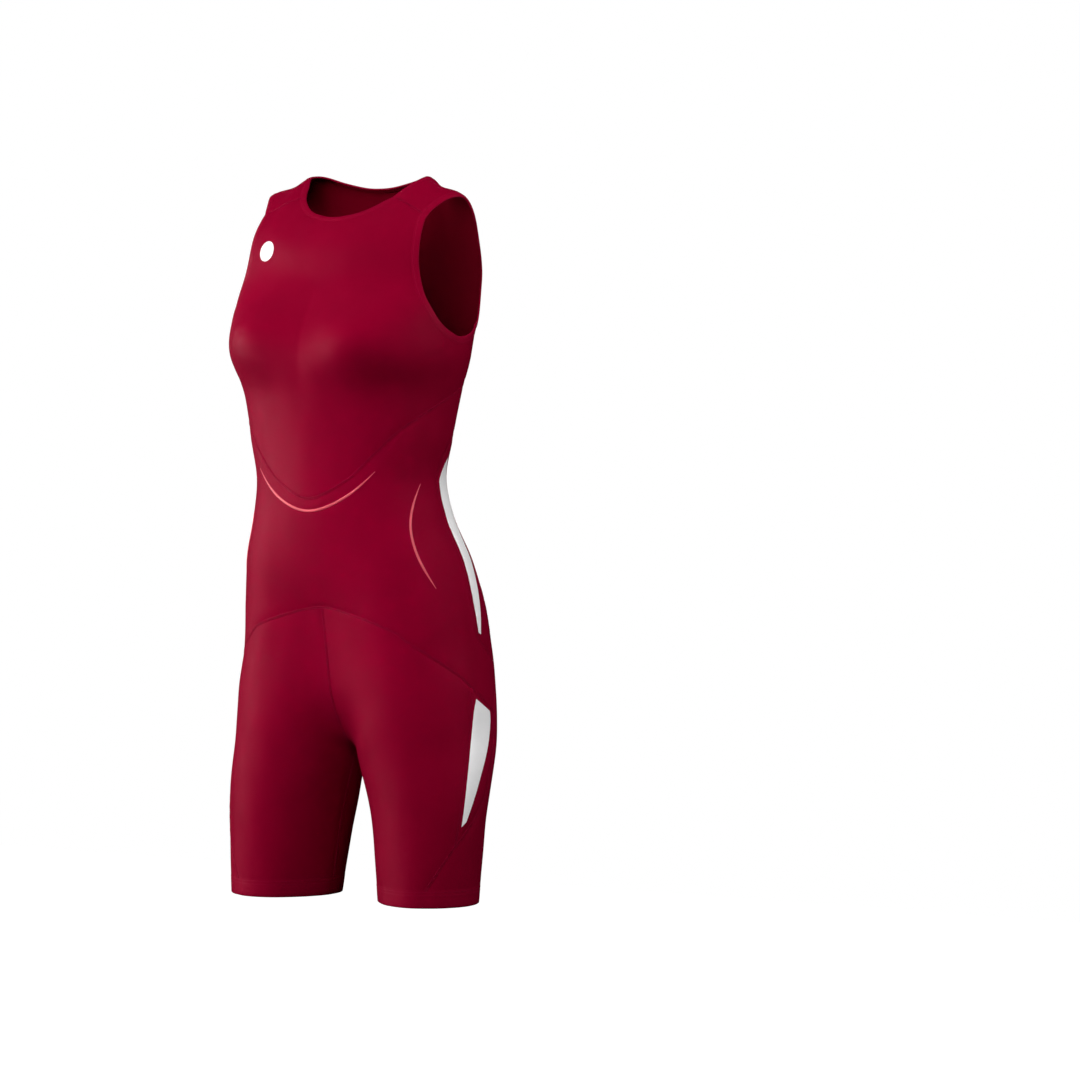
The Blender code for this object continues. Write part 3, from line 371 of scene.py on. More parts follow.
# name, degrees left of the camera, distance out, height, width and height, power, spread
SOFTBOXES = (
    ("low_rear_left", 104, 1.6, -0.45, (0.5, 0.5), 9.5, 180),
    ("rear_left", 114, 1.6, 0.0, (0.4, 0.4), 5, 180),
    ("low_left", 84, 2.2, -0.3, (0.8, 0.8), 9.5, 180),
    ("left", 70, 2.2, 0.38, (0.9, 0.9), 19.5, 180),
    ("key", 42, 2.2, 0.9, (1.1, 0.8), 18.5, 180),
    ("front", 15, 2.2, 0.9, (1.2, 0.8), 29, 180),
    ("belly", 8, 2.2, -0.3, (0.3, 0.3), 0.11, 12),
    ("right", -76, 1.8, 0.2, (0.6, 0.6), 12.5, 180),
    ("high_right", -75, 1.8, 0.9, (0.6, 0.6), 7, 180),
    ("top_left", 90, 0.8, 1.6, (1.2, 1.2), 6.5, 180),
    ("top_right", -90, 0.8, 1.4, (1.0, 1.0), 8, 180),
    ("back", 180, 2.4, 0.3, (1.6, 1.6), 60, 180),
)

# ---- The form ----
def section_table(rows):
    """Function from heights to section values, smooth through the rows."""
    table = np.array(sorted(rows), float)
    heights = table[:, 0] * MM
    values = table[:, 1:]
    slopes = np.gradient(values, heights, axis=0)

    def at(height):
        height = np.clip(height, heights[0], heights[-1])
        low = np.clip(np.searchsorted(heights, height) - 1, 0, len(heights) - 2)
        span = (heights[low + 1] - heights[low])[..., None]
        t = (height[..., None] - heights[low][..., None]) / span
        ends = values[low] * (2 * t**3 - 3 * t**2 + 1) + values[low + 1] * (3 * t**2 - 2 * t**3)
        bends = slopes[low] * (t**3 - 2 * t**2 + t) + slopes[low + 1] * (t**3 - t**2)
        return ends + span * bends

    return at


section_at = section_table(SECTIONS)


def shoulder_height(x):
    """Height of the shoulder's crest at a distance from the middle."""
    out = NECK_SOFT * np.log1p(np.exp((np.abs(x) - NECK_HALF) / NECK_SOFT))
    return -SHOULDER_DROP * (1 - np.exp(-out / SHOULDER_DROP_OVER)) + SHOULDER_LEVEL * out


def oval(x, y, z):
    """How far outside one side's oval a point lies, and the blend there."""
    out, back, wide, front, rear, twist, blend = np.moveaxis(section_at(z), -1, 0)
    turn = np.radians(twist)
    dx = x - out * MM
    dy = y - back * MM
    across = dx * np.cos(turn) + dy * np.sin(turn)
    along = dy * np.cos(turn) - dx * np.sin(turn)
    deep = np.where(along < 0, front, rear) * MM
    wide = wide * MM
    rise = np.clip((z - CHEST_TOP) / (shoulder_height(x) - CHEST_TOP), 0, None)
    power = SQUARENESS
    ratio = (np.abs(across) / wide) ** power + (np.abs(along) / deep) ** power + rise**power
    eased = front + (rear - front) * np.clip(along / DEPTH_EASE + 0.5, 0, 1)
    return (ratio ** (1 / power) - 1) * (wide + eased * MM) / 2, blend * MM


def bust(x, y, z):
    """Fullness that the bust adds on the front of each side."""
    aside = (np.abs(x) - BUST_OUT) / BUST_WIDE
    above = (z - BUST_HEIGHT) / BUST_TALL
    facing = np.clip((BUST_BACK - y) / BUST_FADE, 0, 1)
    return BUST_PROUD * np.exp(-(aside**2) - above**2) * facing


def outside(points):
    """Near distance to the form: negative inside it, positive outside."""
    x, y, z = points[..., 0], points[..., 1], points[..., 2]
    left, blend = oval(x, y, z)
    right, _ = oval(-x, y, z)
    meet = np.clip(1 - np.abs(left - right) / blend, 0, None)
    return np.minimum(left, right) - meet**2 * blend / 4 - bust(x, y, z)


def uphill(points, step=1e-5):
    """Gradient of the near distance."""
    found = np.empty_like(points)
    for axis in range(3):
        move = np.zeros(3)
        move[axis] = step
        found[..., axis] = (outside(points + move) - outside(points - move)) / (2 * step)
    return found


def settle(points, rounds=10):
    """Drop points onto the form, each along the form's own slope."""
    points = np.array(points, float)
    for _ in range(rounds):
        slope = uphill(points)
        size = np.maximum((slope**2).sum(-1), LEAST_SLOPE)
        step = np.clip(outside(points) / size, -STEP_LIMIT, STEP_LIMIT)
        points -= slope * step[..., None]
    return points


def normals_at(points):
    """Directions straight out of the form."""
    slope = uphill(points)
    return slope / np.linalg.norm(slope, axis=-1, keepdims=True)


# ---- Curves on the form ----
def bend(a, b, c, d, t):
    """Smooth run from b to c, for what comes from a and goes on to d, at shares t."""
    return 0.5 * (2 * b + (c - a) * t + (2 * a - 5 * b + 4 * c - d) * t**2
                  + (3 * b - a - 3 * c + d) * t**3)


def spline(points, samples_per_span=SPLINE_SAMPLES, before=None):
    """Smooth dense curve through points, as if it came from the point before, if one is given."""
    points = np.asarray(points, float)
    if before is None:
        before = 2 * points[0] - points[1]
    ends = np.vstack([before, points, 2 * points[-1] - points[-2]])
    shares = np.linspace(0, 1, samples_per_span, endpoint=False)[:, None]
    dense = [bend(*ends[k : k + 4], shares) for k in range(len(ends) - 3)]
    return np.vstack(dense + [points[-1:]])


def length_along(curve):
    """Length of a curve from its start to each of its points."""
    return np.concatenate([[0], np.cumsum(np.linalg.norm(np.diff(curve, axis=0), axis=1))])


def read_at(stations, lengths, values):
    """Points or directions at stations, from those at given lengths along a curve."""
    return np.stack([np.interp(stations, lengths, values[:, k]) for k in range(3)], axis=-1)


def spaced(curve, cells):
    """The same curve with evenly spaced points."""
    lengths = length_along(curve)
    return read_at(np.linspace(0, lengths[-1], cells + 1), lengths, curve)


def last_inside(start, ray, near, far):
    """How far along each ray the form's surface lies, between a near and a far distance."""
    for _ in range(HALVINGS):
        middle = (near + far) / 2
        inside = outside(start + ray * middle[:, None]) < 0
        near = np.where(inside, middle, near)
        far = np.where(inside, far, middle)
    return near


def cast(round_deg, height, on_leg):
    """Point on the form, seen from its axis at a height in a direction round it."""
    section = section_at(height)
    axis = np.stack([section[..., 0] * MM * on_leg, section[..., 1] * MM, height], axis=-1)
    angle = np.radians(round_deg)
    ray = np.stack([np.sin(angle), -np.cos(angle), 0 * angle], axis=-1)
    to_middle = axis[:, 0] / np.maximum(-ray[:, 0], TINY)
    far = np.where((ray[:, 0] < -TINY) & (on_leg > 0), to_middle, FAR)
    return axis + ray * last_inside(axis, ray, np.zeros(len(height)), far)[:, None]


def turned_curve(rows, on_leg=False):
    """Dense curve on the form through rows of degrees round and height.

    A curve that starts in the middle plane starts level there.
    """
    flat = np.column_stack([np.array(rows, float), np.zeros(len(rows))])
    before = None
    if rows[0][0] in (0, 180):
        before = np.array([2 * rows[0][0] - rows[1][0], rows[1][1], 0.0])
    dense = spline(flat, before=before)
    return cast(dense[:, 0], dense[:, 1] * MM, float(on_leg))


def pinned(curve, start, end):
    """A curve on the form, eased so that it runs exactly between two corners."""
    along = np.linspace(0, 1, len(curve))[:, None]
    curve = curve + (start - curve[0]) * (1 - along)
    curve = settle(curve + (end - curve[-1]) * along)
    curve[0], curve[-1] = start, end
    return curve


def seam(rows, cells, start, end, on_leg=False):
    """Seam through rows of degrees round and height, as evenly spaced points."""
    return spaced(pinned(turned_curve(rows, on_leg), start, end), cells)


def space_seam(points, cells, start, end):
    """Seam past points in space, as evenly spaced points."""
    return spaced(pinned(settle(spline(points)), start, end), cells)


def straight_seam(start, end, cells):
    """Seam over the form between two of its points, straight when seen square on."""
    return space_seam(np.linspace(start, end, STRAIGHT_POINTS), cells, start, end)


def crotch_point():
    """Lowest point of the middle plane's edge, where the two legs part."""
    depth = np.linspace(-CROTCH_REACH, CROTCH_REACH, CROTCH_POINTS)
    low, high = CROTCH_LOW, CROTCH_HIGH
    for _ in range(HALVINGS):
        height = (low + high) / 2
        line = np.stack([0 * depth, depth, 0 * depth + height], axis=-1)
        values = outside(line)
        if values.min() < 0:
            high = height
        else:
            low = height
    return line[np.argmin(values)]


def centre_seam(top, crotch, cells):
    """Centre-front or centre-back seam: down the middle plane and under to the crotch."""
    heights = np.linspace(top[2], crotch[2], CENTRE_POINTS)[:-1, None]
    start, ray = heights * (0, 0, 1), np.array([[0.0, 1.0, 0.0]])
    near = np.full(len(heights), crotch[1])
    far = np.full(len(heights), math.copysign(FAR, top[1] - crotch[1]))
    depth = last_inside(start, ray, near, far)
    return spaced(np.vstack([start + ray * depth[:, None], crotch]), cells)


def join(*curves):
    """Curves end to end, their shared points once."""
    return np.vstack([curves[0]] + [curve[1:] for curve in curves[1:]])


def run_of(seams, names):
    """Seams end to end, from their names, where a minus turns one round."""
    return join(*(seams[name[1:]][::-1] if name[0] == "-" else seams[name]
                  for name in names.split()))


# ---- Grids of cloth ----
def coons(foot, top, left, right):
    """Grid blended between four curves that meet at their ends. Rows run from foot to top."""
    u = np.linspace(0, 1, len(foot))[None, :, None]
    v = np.linspace(0, 1, len(left))[:, None, None]
    sides = left[:, None] * (1 - u) + right[:, None] * u
    ends = foot[None] * (1 - v) + top[None] * v
    corners = ((foot[0] * (1 - u) + foot[-1] * u) * (1 - v)
               + (top[0] * (1 - u) + top[-1] * u) * v)
    return sides + ends - corners


def relaxed(grid, rounds):
    """Even out a grid's inner points over the form."""
    for _ in range(rounds):
        inner = settle(grid[1:-1, 1:-1], rounds=2)
        grid[1:-1, 1:-1] = inner
        around = (grid[:-2, 1:-1] + grid[2:, 1:-1] + grid[1:-1, :-2] + grid[1:-1, 2:]) / 4
        grid[1:-1, 1:-1] = (inner + around) / 2
    grid[1:-1, 1:-1] = settle(grid[1:-1, 1:-1], rounds=5)
    return grid


def finer(grid):
    """Rows cut into FINE, smooth through the old ones."""
    ends = np.concatenate([2 * grid[:1] - grid[1:2], grid, 2 * grid[-1:] - grid[-2:-1]])
    shares = (np.arange(FINE) / FINE)[:, None, None]
    rows = [bend(*ends[k : k + 4], shares) for k in range(len(grid) - 1)]
    return np.concatenate(rows + [grid[-1:]])


def spread(foot, top, left, right):
    """Fine grid of cloth between four curves, laid on the form."""
    coarse = relaxed(coons(foot[::FINE], top[::FINE], left[::FINE], right[::FINE]),
                     RELAX_ROUNDS)
    grid = np.swapaxes(finer(np.swapaxes(finer(coarse), 0, 1)), 0, 1).copy()
    grid += coons(foot - grid[0], top - grid[-1], left - grid[:, 0], right - grid[:, -1])
    return relaxed(grid, rounds=3)


def mirrored(grid):
    """A grid's mirror image, its columns turned round so that its faces still look outwards."""
    return grid[:, ::-1] * FLIP


def laid_flat(grid):
    """Place of each point on the flat cloth, in metres: across its columns and up its rows."""
    across = np.linalg.norm(np.diff(grid, axis=1), axis=2).mean(0)
    up = np.linalg.norm(np.diff(grid, axis=0), axis=2).mean(1)
    u = np.concatenate([[0], np.cumsum(across)])
    v = np.concatenate([[0], np.cumsum(up)])
    return np.stack(np.meshgrid(u, v), axis=-1)


def weld(blocks):
    """Vertices of several grids with shared points made one, quads, and quads' flat places."""
    points, faces, flat = [], [], []
    for grid in blocks:
        rows, columns = grid.shape[:2]
        first = sum(len(p) for p in points)
        number = first + np.arange(rows * columns).reshape(rows, columns)
        points.append(grid.reshape(-1, 3))
        flat.append(laid_flat(grid).reshape(-1, 2))
        quads = np.stack([number[:-1, :-1], number[:-1, 1:], number[1:, 1:], number[1:, :-1]], -1)
        faces.append(quads.reshape(-1, 4))
    points, faces, flat = np.vstack(points), np.vstack(faces), np.vstack(flat)
    _, first, same = np.unique(np.round(points / WELD_STEP).astype(np.int64), axis=0,
                               return_index=True, return_inverse=True)
    return points[first], same.reshape(-1)[faces], flat[faces]


# ---- Relief of the cloth ----
def swell_waves():
    """Directions, phases, wave numbers and depths of the faint unevenness of stretched cloth."""
    chance = np.random.default_rng(WAVE_SEED)
    rows = []
    for depth, length, count in UNEVEN:
        for _ in range(count):
            way = chance.normal(size=3) * WAVE_STRETCH
            way *= 2 * math.pi / (length * chance.uniform(*WAVE_SPREAD) * np.linalg.norm(way))
            rows.append((*way, chance.uniform(0, 2 * math.pi), depth / count**0.5))
    return np.array(rows)


class Relief:
    """How far the worn cloth stands off the form, from its seams, creases and unevenness."""

    def __init__(self, seam_curves, crease_lines):
        self.waves = swell_waves()
        self.creases = crease_lines
        points = np.vstack(seam_curves)
        self.along = np.concatenate([length_along(curve) for curve in seam_curves])
        self.tree = KDTree(len(points))
        for number, point in enumerate(points):
            self.tree.insert(Vector(point), number)
        self.tree.balance()

    def __call__(self, points):
        shape = points.shape[:-1]
        points = points.reshape(-1, 3)
        height = (np.sin(points @ self.waves[:, :3].T + self.waves[:, 3]) @ self.waves[:, 4])
        found = [self.tree.find(Vector(point)) for point in points]
        gap = np.array([hit[2] for hit in found])
        along = self.along[[hit[1] for hit in found]]
        near = np.exp(-((gap / SEAM_DIP_WIDE) ** 2))
        turn = 2 * math.pi * along / PUCKER_LENGTH
        ripple = np.sin(turn + PUCKER_WANDER * np.sin(turn / PUCKER_REPEAT))
        height = height * (1 - SEAM_CALM * near) + near * (PUCKER * ripple - SEAM_DIP)
        for start, end, depth, wide in self.creases:
            run = end - start
            share = np.clip((points - start) @ run / (run @ run), 0, 1)
            off = np.linalg.norm(points - start - share[:, None] * run, axis=1)
            height += depth * np.sin(math.pi * share) * np.exp(-((off / wide) ** 2))
        return height.reshape(shape)


def crease_line(row):
    """Crease from its row: leg or torso, both ends on the form, height and half width."""
    on_leg, side, turn, top, end_turn, foot, proud, wide = row
    ends = cast(np.array([turn, end_turn], float), np.array([top, foot]) * MM, float(on_leg))
    ends[:, 0] *= side
    return ends[0], ends[1], proud * MM, wide * MM


# ---- Meshes ----
def boundary_loops(faces):
    """Next point along the open edge, for each point on it."""
    edges = np.vstack([faces[:, [k, (k + 1) % 4]] for k in range(4)])
    known = {(int(a), int(b)) for a, b in edges}
    return {a: b for a, b in known if (b, a) not in known}


def pull_back(points, following, normals, distance):
    """Move the points of the open edge into the cloth, square to the edge."""
    here = np.array(list(following))
    ahead = np.array([following[a] for a in here])
    before = {b: a for a, b in following.items()}
    behind = np.array([before[a] for a in here])
    inward = []
    for run in (points[here] - points[behind], points[ahead] - points[here]):
        side = np.cross(normals[here], run)
        inward.append(side / np.linalg.norm(side, axis=1, keepdims=True))
    mitre = inward[0] + inward[1]
    moved = points.copy()
    square = 1 + (inward[0] * inward[1]).sum(1, keepdims=True)
    moved[here] = points[here] + mitre * distance / square
    return moved


def placed(name, data):
    """New object in the scene."""
    made = bpy.data.objects.new(name, data)
    bpy.context.scene.collection.objects.link(made)
    return made


def mesh_object(name, points, faces, material, flat=None):
    """Object from points and faces, with each face's places on the flat cloth."""
    mesh = bpy.data.meshes.new(name)
    mesh.from_pydata(points.tolist(), [], faces.tolist() if hasattr(faces, "tolist") else faces)
    if flat is not None:
        mesh.uv_layers.new(name="cloth").data.foreach_set("uv", flat.reshape(-1))
    mesh.validate()
    mesh.update()
    piece = placed(name, mesh)
    mesh.materials.append(material)
    mesh.shade_smooth()
    mesh.set_sharp_from_angle(angle=math.radians(SHARP_ANGLE))
    return piece


def worn(piece, node, stands_for=True):
    """Tie a piece to the root body; if it stands for a node, hide the node's imported part."""
    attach(piece, "root")
    if stands_for:
        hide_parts(node)
    return piece


def cloth(node, blocks, material, relief, wall=CLOTH_WALL, lift=0.0, inside=None):
    """Thin shell from grids on the form, with its cut edge, in place of a node."""
    points, quads, flat = weld(blocks)
    following = boundary_loops(quads)
    normals = normals_at(points)
    points = pull_back(points, following, normals, SEAM_GAP / 2)
    outer = points + normals * (lift + relief(points))[:, None]
    inner = outer - normals * wall
    count = len(points)
    rim = np.array([(b, a, a + count, b + count) for a, b in following.items()])
    faces = np.vstack([quads, quads[:, ::-1] + count, rim])
    flat = np.vstack([flat, flat[:, ::-1], np.zeros((len(rim), 4, 2))])
    piece = mesh_object("cloth_" + node, np.vstack([outer, inner]), faces, material, flat)
    # The inner faces take the inside finish, whose darker colour is partly painted shade.
    if inside:
        piece.data.materials.append(inside)
        side = np.repeat([0, 1, 0], [len(quads), len(quads), len(rim)])
        piece.data.polygons.foreach_set("material_index", side)
    return worn(piece, node)


def both_sides(node, blocks, material, relief, **sizes):
    """The same piece for the wearer's left and right."""
    cloth(node + "_l", blocks, material, relief, **sizes)
    cloth(node + "_r", [mirrored(grid) for grid in blocks], material, relief, **sizes)


def tube_faces(rings, around, looped):
    """Quads of a tube of rings, and the two end caps if it doesn't close on itself.

    The rings turn left about the way the tube runs, so the faces look outwards.
    """
    number = np.arange(rings * around).reshape(rings, around)
    ahead = np.roll(number, -1, axis=0) if looped else number[1:]
    here = number if looped else number[:-1]
    quads = np.stack([here, np.roll(here, -1, axis=1), np.roll(ahead, -1, axis=1), ahead], -1)
    caps = [] if looped else [number[0, ::-1].tolist(), number[-1].tolist()]
    return quads.reshape(-1, 4).tolist() + caps


def swept(runs, looped):
    """Points, faces and flat places of one or more tubes, each a grid of rings."""
    points, faces, flat = [], [], []
    count = 0
    for rings in runs:
        number, around = rings.shape[:2]
        found = [[v + count for v in face] for face in tube_faces(number, around, looped)]
        along = length_along(rings.mean(1))
        across = np.arange(around) * TUBE_FLAT
        place = np.stack(np.meshgrid(across, along), axis=-1).reshape(-1, 2)
        points.append(rings.reshape(-1, 3))
        flat.extend(place[v - count] for face in found for v in face)
        faces.extend(found)
        count += number * around
    return np.vstack(points), faces, np.array(flat)


def swept_object(name, runs, material, looped=False):
    """Object of one or more tubes, each a grid of rings."""
    points, faces, flat = swept(runs, looped)
    return mesh_object(name, points, faces, material, flat)


def aside(curve, normals, closed=False):
    """Direction in the cloth, square to a curve, to its left when seen from outside."""
    if closed:
        along = np.roll(curve, -1, axis=0) - np.roll(curve, 1, axis=0)
    else:
        along = np.gradient(curve, axis=0)
    across = np.cross(normals, along)
    return across / np.linalg.norm(across, axis=1, keepdims=True)


def closed_spline(points):
    """Smooth dense loop through points, on the form."""
    around = np.vstack([points[-2:], points, points[:3]])
    return settle(spline(around)[2 * SPLINE_SAMPLES : -2 * SPLINE_SAMPLES - 1])


def edge_and_seam(points, width):
    """Loop of an opening's edge, and the loop of the seam that its binding makes."""
    edge = closed_spline(points)
    return edge, settle(edge - aside(edge, normals_at(edge), closed=True) * width)


def nearest(curve, point):
    """Number of a curve's nearest point."""
    return int(np.argmin(np.linalg.norm(curve - point, axis=1)))


def evenly(curve, step, closed=False):
    """A smooth curve again, with points a step apart."""
    if closed:
        curve = np.vstack([curve, curve[:1]])
    cells = max(2, round(length_along(curve)[-1] / step))
    found = spaced(spline(curve, samples_per_span=6), cells)
    return found[:-1] if closed else found


def band_profile(width, wall, proud):
    """Section of a folded edge band, turning left: share of its width, and height."""
    radius = wall / 2
    turn = np.radians(np.linspace(-FOLD_TURN, FOLD_TURN, FOLD_POINTS))
    fold_out = width - radius + radius * np.cos(turn)
    fold_up = proud - radius + radius * np.sin(turn)
    under = np.linspace(SEAM_GAP / 2, width - radius, UNDER_POINTS)
    over = np.linspace(width - radius, 0.0, OVER_POINTS)[1:]
    crown = BAND_CROWN * np.sin(math.pi * over / width)
    out = np.concatenate([under[:-1], fold_out, over, [-BAND_LAP, -BAND_LAP]])
    up = np.concatenate([0 * under[:-1] + proud - wall, fold_up, proud + crown, LAP_HEIGHTS])
    return out / width, up


def band(node, edge, seam_line, wall, proud, materials, relief, width):
    """Edge band or hem: a folded strip swept round an opening, its under side dull, in painted
    shade.
    """
    lift = relief(seam_line)
    rings = []
    for share, height in zip(*band_profile(width, wall, proud)):
        base = settle(seam_line + (edge - seam_line) * share, rounds=4)
        rings.append(base + normals_at(base) * (height + lift)[:, None])
    rings = np.stack(rings, axis=1)
    piece = swept_object("band_" + node, [rings], materials[0], looped=True)
    piece.data.materials.append(materials[1])
    # The under side takes the inside finish, whose darker colour is partly painted shade.
    under = np.arange(rings.shape[1]) < UNDER_POINTS
    piece.data.polygons.foreach_set("material_index", np.tile(under, len(rings)).astype(int))
    return worn(piece, node)


def ridge_rings(curve, relief, profile):
    """Rings of a narrow raised run along a curve of the cloth."""
    normals = normals_at(curve)
    across = aside(curve, normals)
    base = curve + normals * relief(curve)[:, None]
    return np.stack([base + across * out + normals * up for out, up in profile], axis=1)


RIDGE_PROFILE = tuple(
    (share * RIDGE_WIDTH, height) for share, height in (
        (-0.5, -RIDGE_SUNK), (0.5, -RIDGE_SUNK), (0.5, 0.1 * MM), (0.4, 0.85 * RIDGE_PROUD),
        (0.2, RIDGE_PROUD), (0.0, 0.8 * RIDGE_PROUD), (-0.2, RIDGE_PROUD),
        (-0.4, 0.85 * RIDGE_PROUD), (-0.5, 0.1 * MM))
)


def ridges(name, node, curves, material, relief):
    """Flat seam covers along several seams, as one piece."""
    runs = [ridge_rings(settle(evenly(curve, RIDGE_STEP), rounds=3), relief, RIDGE_PROFILE)
            for curve in curves]
    return worn(swept_object(name, runs, material), node, stands_for=False)


def stitch_grid(curve, offset, height, relief):
    """Rings of every stitch of one needle row beside a curve."""
    curve = settle(evenly(curve, RIDGE_STEP), rounds=3)
    base = settle(curve + aside(curve, normals_at(curve)) * offset, rounds=3)
    normals = normals_at(base)
    row = base + normals * (relief(curve) + height)[:, None]
    along = length_along(row)
    count = int(along[-1] / STITCH_PITCH)
    middles = (np.arange(count) + 0.5) * along[-1] / count
    shares, lifts, sizes = STITCH_RINGS.T
    stations = middles[:, None] + shares * STITCH_LENGTH
    up = read_at(stations, along, normals)
    side = read_at(stations, along, aside(base, normals))
    centre = read_at(stations, along, row) + up * (lifts * THREAD_RADIUS)[:, None]
    ring = []
    for turn in range(0, 360, 360 // STITCH_SIDES):
        angle = math.radians(turn)
        way = side * math.cos(angle) + up * math.sin(angle)
        ring.append(centre + way * (sizes * THREAD_RADIUS)[:, None])
    return np.stack(ring, axis=2)


def stitches(name, node, rows, material, relief):
    """All the stitches of several needle rows, as one piece: curve, offset and height each."""
    grids = np.concatenate([stitch_grid(*row, relief) for row in rows])
    number, rings, sides = grids.shape[:3]
    one = np.array(tube_faces(rings, sides, looped=False))
    faces = (one + rings * sides * np.arange(number)[:, None, None]).reshape(-1, 4)
    piece = mesh_object(name, grids.reshape(-1, 3), faces, material)
    return worn(piece, node, stands_for=False)


def smoothed(curve, rounds):
    """A curve with evenly spaced points and its kinks eased, its ends kept."""
    curve = evenly(curve, CORD_POINTS)
    for _ in range(rounds):
        curve[1:-1] = curve[1:-1] / 2 + (curve[:-2] + curve[2:]) / 4
    return curve


def cord_run(node, curve, material, relief):
    """Half-round bonded cord that thins out at both ends."""
    curve = settle(evenly(smoothed(curve, CORD_SMOOTHING), CORD_STEP), rounds=3)
    normals = normals_at(curve)
    across = aside(curve, normals)
    share = np.linspace(0, 1, len(curve))
    full = CORD_END + (1 - CORD_END) * np.clip(np.sin(math.pi * share) * CORD_FULLNESS, 0, 1)
    base = curve + normals * relief(curve)[:, None]
    rings = []
    for turn in CORD_TURNS:
        angle = math.radians(turn)
        out = math.cos(angle) * CORD_WIDTH / 2
        up = math.sin(angle) * CORD_PROUD
        rings.append(base + (across * out + normals * up) * full[:, None])
    return worn(swept_object("cord_" + node, [np.stack(rings, axis=1)], material), node)


def strip(curve, width, columns=5):
    """Grid of a narrow strip laid along a curve of the form, its faces outwards."""
    across = aside(curve, normals_at(curve))
    shares = np.linspace(-0.5, 0.5, columns)
    grid = settle(curve[:, None] - across[:, None] * (shares * width)[None, :, None])
    face = np.cross(grid[0, 1] - grid[0, 0], grid[1, 0] - grid[0, 0])
    return grid[::-1] if face @ normals_at(grid[0, :1])[0] < 0 else grid


def film(panel, rows, up_cells, across_cells):
    """Grid of a film on a panel, from its outline as shares of the panel."""
    outline = spline(rows, samples_per_span=12)
    shares = np.linspace(outline[0, 0], outline[-1, 0], up_cells + 1)
    starts = np.interp(shares, outline[:, 0], outline[:, 1])
    ends = np.interp(shares, outline[:, 0], outline[:, 2])
    up = shares[:, None] * (panel.shape[0] - 1) * np.ones(across_cells + 1)
    steps = np.linspace(0, 1, across_cells + 1)
    across = (starts[:, None] * (1 - steps) + ends[:, None] * steps) * (panel.shape[1] - 1)
    row, column = up.astype(int), across.astype(int)
    v, u = (up - row)[..., None], (across - column)[..., None]
    lower = panel[row, column] * (1 - u) + panel[row, column + 1] * u
    upper = panel[row + 1, column] * (1 - u) + panel[row + 1, column + 1] * u
    return settle(lower * (1 - v) + upper * v, rounds=4)


def disc(centre, radius, cells=16):
    """Round grid on the form about a point."""
    centre = settle(np.array(centre, float) * MM)
    normal = normals_at(centre[None])[0]
    level = np.cross((0, 0, 1), normal)
    level /= np.linalg.norm(level)
    rise = np.cross(normal, level)
    side = np.linspace(-1, 1, cells + 1)
    a, b = np.meshgrid(side, side)
    a, b = a * np.sqrt(1 - b**2 / 2), b * np.sqrt(1 - a**2 / 2)
    flat = a[..., None] * level + b[..., None] * rise
    return settle(centre + flat * radius)


# ---- The garment's lines, as in the solids ----
def corners():
    """Points where seams meet, on the wearer's left."""
    found = {"crotch": crotch_point()}
    for table, on_leg in ((TORSO_SEAMS, 0.0), (LEG_SEAMS, 1.0)):
        for start, end, rows in table.values():
            for name, (turn, height) in ((start, rows[0]), (end, rows[-1])):
                if name not in found:
                    found[name] = cast(np.array([float(turn)]), np.array([height * MM]), on_leg)[0]
    for name in ("smile_middle", "waist", "arch_middle"):
        found[name][0] = 0.0
    return found


def neck_loop():
    """Edge of the neck and the seam of its band, each a closed loop."""
    half = np.array(NECK_EDGE, float) * MM
    return edge_and_seam(np.vstack([half, half[-2:0:-1] * FLIP]), NECK_BINDING_WIDTH)


def arm_loop():
    """Edge of the left armhole and the seam of its band, each a closed loop."""
    return edge_and_seam(np.array(ARMHOLE_EDGE, float) * MM, ARM_BINDING_WIDTH)


def runs_between(seam_line, parts):
    """Named runs of a seam between two of its points each, evenly spaced."""
    return {name: spaced(seam_line[a : b + 1], CELLS[name]) for name, a, b in parts}


def neck_lines(at):
    """Left half of the neck's seam: front, shoulder side, back. Adds its corners."""
    end = (len(NECK_EDGE) - 1) * SPLINE_SAMPLES
    seam_line = neck_loop()[1][: end + 1]
    seam_line[[0, -1], 0] = 0.0
    forward = nearest(seam_line, np.array(SHOULDER_SEAM[0]) * MM)
    ridge = nearest(seam_line, np.array(NECK_RIDGE) * MM)
    at["neck_forward"], at["neck_ridge"] = seam_line[forward], seam_line[ridge]
    at["neck_middle"], at["neck_back_middle"] = seam_line[0], seam_line[-1]
    return runs_between(seam_line, (
        ("neck_front", 0, forward), ("neck_side", forward, ridge), ("neck_back", ridge, end)))


def arm_lines(at):
    """Left armhole's seam: shoulder, front, under and back runs. Puts its corners on it."""
    seam_line = arm_loop()[1]
    seam_line = np.vstack([seam_line, seam_line[:1]])
    forward = nearest(seam_line, np.array(SHOULDER_SEAM[-1]) * MM)
    under = nearest(seam_line, np.array(ARMHOLE_TURN) * MM)
    bottom = nearest(seam_line, at["arm_bottom"])
    at["arm_ridge"], at["arm_forward"] = seam_line[0], seam_line[forward]
    at["arm_turn"], at["arm_bottom"] = seam_line[under], seam_line[bottom]
    return runs_between(seam_line, (
        ("arm_top", 0, forward), ("armhole_front", forward, under),
        ("armhole_under", under, bottom), ("armhole_back", bottom, len(seam_line) - 1)))


